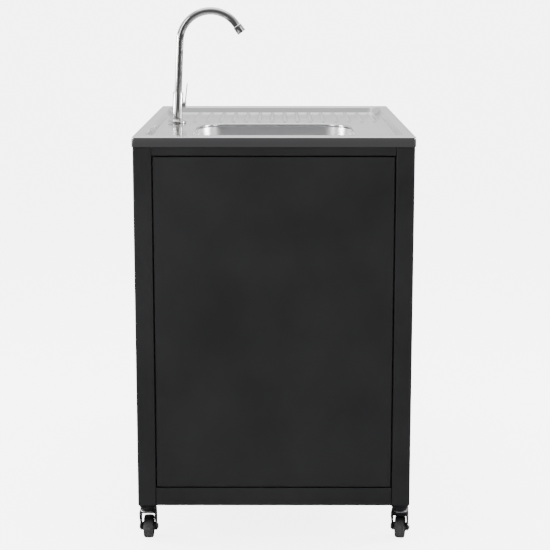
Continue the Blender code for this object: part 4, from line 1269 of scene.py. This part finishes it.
def make_pump():
    """The pump's head with its cover plate and screws, and its banded motor on a foot."""
    low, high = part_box("pump_head")
    top = high.z - 0.0155
    x, y = middle_of("pump_head")[:2]
    split, neck = low.z + 0.052, (0.003, 0.008, 0.009)
    lid = Vector((high.x, high.y, top))
    head = split_block(
        "pump_head_lower", low, lid, split, 0.0012, neck, BLACK_PLASTIC, 0.0055, 5
    )
    for side in (-1, 1):
        port = [(0, high.z), (0.0030, high.z), (0.0036, high.z - 0.0008)]
        for i in range(3):
            height = high.z - 0.0010 - 0.0030 * i
            port += [(0.0042, height), (0.0054, height - 0.0022), (0.0042, height - 0.0024)]
        port += [
            (0.0042, top + 0.0028),
            (0.0055, top + 0.0028),
            (0.0055, top - 0.004),
            (0, top - 0.004),
        ]
        spot = Matrix.Translation((x + side * 0.020, y, 0))
        combine(head, turned("port", port, BLACK_PLASTIC, spot, 32), "UNION")
    show(finish_cut(head), "cabinet", "black_plastic", "pump_head")
    screw = [(0, 0.0006), (0.0026, 0.0006), (0.0031, 0.0001), (0.0031, -0.0010), (0, -0.0010)]
    for sx in (-1, 1):
        for sy in (-1, 1):
            spot = Matrix.Translation((x + sx * 0.031, y + sy * 0.022, top))
            piece = turned(f"pump_screw_{sx}_{sy}", screw, ZINC, spot, 24)
            show(piece, "cabinet", "zinc_steel")
    make_motor(x)


def make_motor(x):
    low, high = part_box("pump_motor")
    radius = MOTOR_RADIUS
    axis_height = high.z - radius
    length = high.y - low.y
    profile = [
        (0, 0.0002), (radius - 0.0010, 0.0002), (radius - 0.0002, 0.0008),
        (radius - 0.0002, 0.020), (radius - 0.0012, 0.021), (radius - 0.0012, 0.024),
        (radius - 0.0002, 0.025), (radius - 0.0002, length - 0.026),
        (radius - 0.0012, length - 0.025), (radius - 0.0012, length - 0.022),
        (radius - 0.0002, length - 0.021), (radius - 0.0002, length - 0.006),
        (radius - 0.0060, length - 0.001), (radius * 0.30, length - 0.001),
        (radius * 0.27, length - 0.0002), (0, length - 0.0002),
    ]
    lying = axis_frame((x, low.y, axis_height), (0, 1, 0), (1, 0, 0))
    motor = turned("pump_motor_fine", profile, ZINC, lying, 64)
    foot_low = (x - MOTOR_FOOT_HALF, low.y + 0.030, low.z)
    foot_high = (x + MOTOR_FOOT_HALF, low.y + 0.085, axis_height - 0.020)
    combine(motor, block("foot", foot_low, foot_high, ZINC, 0.0012, 2), "UNION")
    show(finish_cut(motor), "cabinet", "zinc_steel", "pump_motor")


def make_battery():
    """A sealed battery: case, lid line, carrying grooves and two posts."""
    low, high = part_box("battery")
    top = high.z - POST_RISE
    split, neck = top - 0.020, (0.0016, 0.005, 0.006)
    lid = Vector((high.x, high.y, top))
    case = split_block("battery_fine", low, lid, split, 0.0014, neck, BATTERY_CASE, 0.0028, 4)
    for i in range(6):
        y = low.y + 0.030 + 0.018 * i
        slot_low = (low.x - 0.001, y, low.z + 0.012)
        slot_high = (low.x + 0.0012, y + 0.008, split - 0.010)
        combine(case, block("slot", slot_low, slot_high, BATTERY_CASE), "DIFFERENCE")
    show(finish_cut(case), "cabinet", "battery_case", "battery")
    ends = ((low.y + 0.020, LEAD_RED, "plus"), (high.y - 0.020, BLACK_PLASTIC, "minus"))
    for y, colour, label in ends:
        post = [
            (0, high.z), (0.0040, high.z), (0.0049, high.z - 0.0008),
            (0.0049, high.z - POST_RISE), (0, high.z - POST_RISE),
        ]
        collar = [
            (0.0052, top + 0.0016), (0.0088, top + 0.0016), (0.0092, top + 0.0010),
            (0.0092, top - 0.0010), (0.0052, top - 0.0010),
        ]
        spot = Matrix.Translation((low.x + 0.020, y, 0))
        post_piece = turned(f"battery_post_{label}", post, ZINC, spot, 32)
        collar_piece = turned(f"battery_collar_{label}", collar, colour, spot, 32)
        show(post_piece, "cabinet", "zinc_steel")
        show(collar_piece, "cabinet", "battery_case")


def hose(name, points, radius, material, slot, sides=24, spacing=0.004):
    """A hose in place of its CAD node, along the same route."""
    line = resampled(smooth_route(points, 24), spacing)
    show(swept(f"{name}_fine", line, radius, material, sides), "cabinet", slot, name)
    return line


def ferrule(name, line, radius, length=0.014):
    """A crimped collar round the start of a hose's line."""
    points = []
    run = 0.0
    for before, after in zip(line, line[1:]):
        if run > length:
            break
        points.append(before)
        run += (after - before).length

    def width(run):
        crimped = any(abs(run - groove) < 0.0011 for groove in (0.0042, 0.0098))
        return radius - 0.0006 if crimped else radius

    collar = swept(name, resampled(points, 0.0009), width, ZINC, 28)
    show(collar, "cabinet", "zinc_steel")


def make_hoses():
    """The hoses keep to the CAD routes: drain, suction, braided supply and the pump's lead."""
    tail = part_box("drain_tailpiece")[0].z - HOSE_GAP
    waste_x, waste_y = middle_of("waste_tank")[:2]
    waste_y += NECK_Y
    fresh_x, fresh_y = middle_of("fresh_tank")[:2]
    fresh_y += NECK_Y
    tank_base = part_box("fresh_tank")[0].z

    def ripple(run):
        return 0.0137 + 0.0008 * math.sin(run * 2 * math.pi / 0.0052)

    waste_route = [
        (BOWL_X, 0, tail), (BOWL_X, 0, 0.584), (BOWL_X - 0.008, -0.008, 0.560),
        (BOWL_X - 0.024, -0.026, 0.534), (waste_x + 0.001, waste_y + 0.001, 0.508),
        (waste_x, waste_y, 0.488), (waste_x, waste_y, 0.455),
    ]
    hose("waste_hose", waste_route, ripple, HOSE_GREY, "hose_grey", 28, 0.00065)
    pump_x, pump_y = middle_of("pump_head")[:2]
    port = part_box("pump_head")[1].z + HOSE_GAP
    suction_route = [
        (fresh_x, fresh_y, tank_base + 0.015), (fresh_x, fresh_y, 0.300),
        (fresh_x, fresh_y, 0.470), (fresh_x, fresh_y, 0.505), (fresh_x + 0.012, fresh_y, 0.545),
        (fresh_x + 0.050, fresh_y + 0.010, 0.572), (fresh_x + 0.105, fresh_y + 0.030, 0.560),
        (fresh_x + 0.150, fresh_y + 0.055, 0.500), (pump_x - 0.022, pump_y - 0.004, 0.400),
        (pump_x - 0.020, pump_y, 0.300), (pump_x - 0.020, pump_y, port),
    ]
    hose("suction_hose", suction_route, 0.0050, HOSE_GREY, "hose_grey")
    place = tap_place()
    tap = place.translation
    shank = place @ Vector((0, 0, SHANK_LOW - HOSE_GAP))
    supply_route = [
        (pump_x + 0.020, pump_y, port), (pump_x + 0.020, pump_y, 0.265),
        (pump_x + 0.026, pump_y + 0.030, 0.330), (pump_x + 0.026, pump_y + 0.110, 0.410),
        (pump_x + 0.005, pump_y + 0.185, 0.510), (tap.x + 0.130, 0.243, 0.620),
        (tap.x + 0.050, 0.243, 0.720), (tap.x + 0.008, 0.241, 0.785),
        (shank.x, shank.y + 0.0007, shank.z - 0.018),
        tuple(shank),
    ]
    line = hose("supply_hose", supply_route, 0.0058, HOSE_BRAID, "hose_braid", 28)
    ferrule("supply_ferrule_low", line, 0.0068)
    ferrule("supply_ferrule_high", list(reversed(line)), 0.0068)
    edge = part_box("battery")[1]
    motor_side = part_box("pump_motor")[1].x - MOTOR_FOOT_HALF + MOTOR_RADIUS + 0.0003
    battery_top = edge.z - POST_RISE
    lead_route = [
        (edge.x - 0.030, edge.y - 0.025, battery_top + 0.001),
        (edge.x - 0.030, edge.y - 0.025, battery_top + 0.010),
        (edge.x - 0.018, edge.y - 0.010, 0.244),
        (edge.x - 0.002, edge.y + 0.024, 0.250),
        (edge.x + 0.004, pump_y, 0.240),
        (edge.x + 0.006, pump_y + 0.060, 0.210),
        (motor_side + 0.016, pump_y + 0.085, tank_base + 0.046),
        (motor_side + 0.008, pump_y + 0.092, tank_base + 0.042),
        (motor_side + 0.001, pump_y + 0.092, tank_base + 0.042),
    ]
    hose("pump_lead", lead_route, 0.0025, BLACK_PLASTIC, "wheel_rubber", 16)


# ---------------------------------------------------------------- everything together


def write_sizes():
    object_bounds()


make_worktop()
make_ribs()
make_bowl()
make_drain()
make_tap()
make_cabinet()
make_casters()
make_tank("waste_tank", TANK_GREY, "tank_grey")
make_tank("fresh_tank", TANK_NATURAL, "tank_natural")
make_cap("waste_tank_cap", 0.0145)
make_cap("fresh_tank_cap", 0.0050)
make_pump()
make_battery()
make_hoses()
make_studio()
write_sizes()
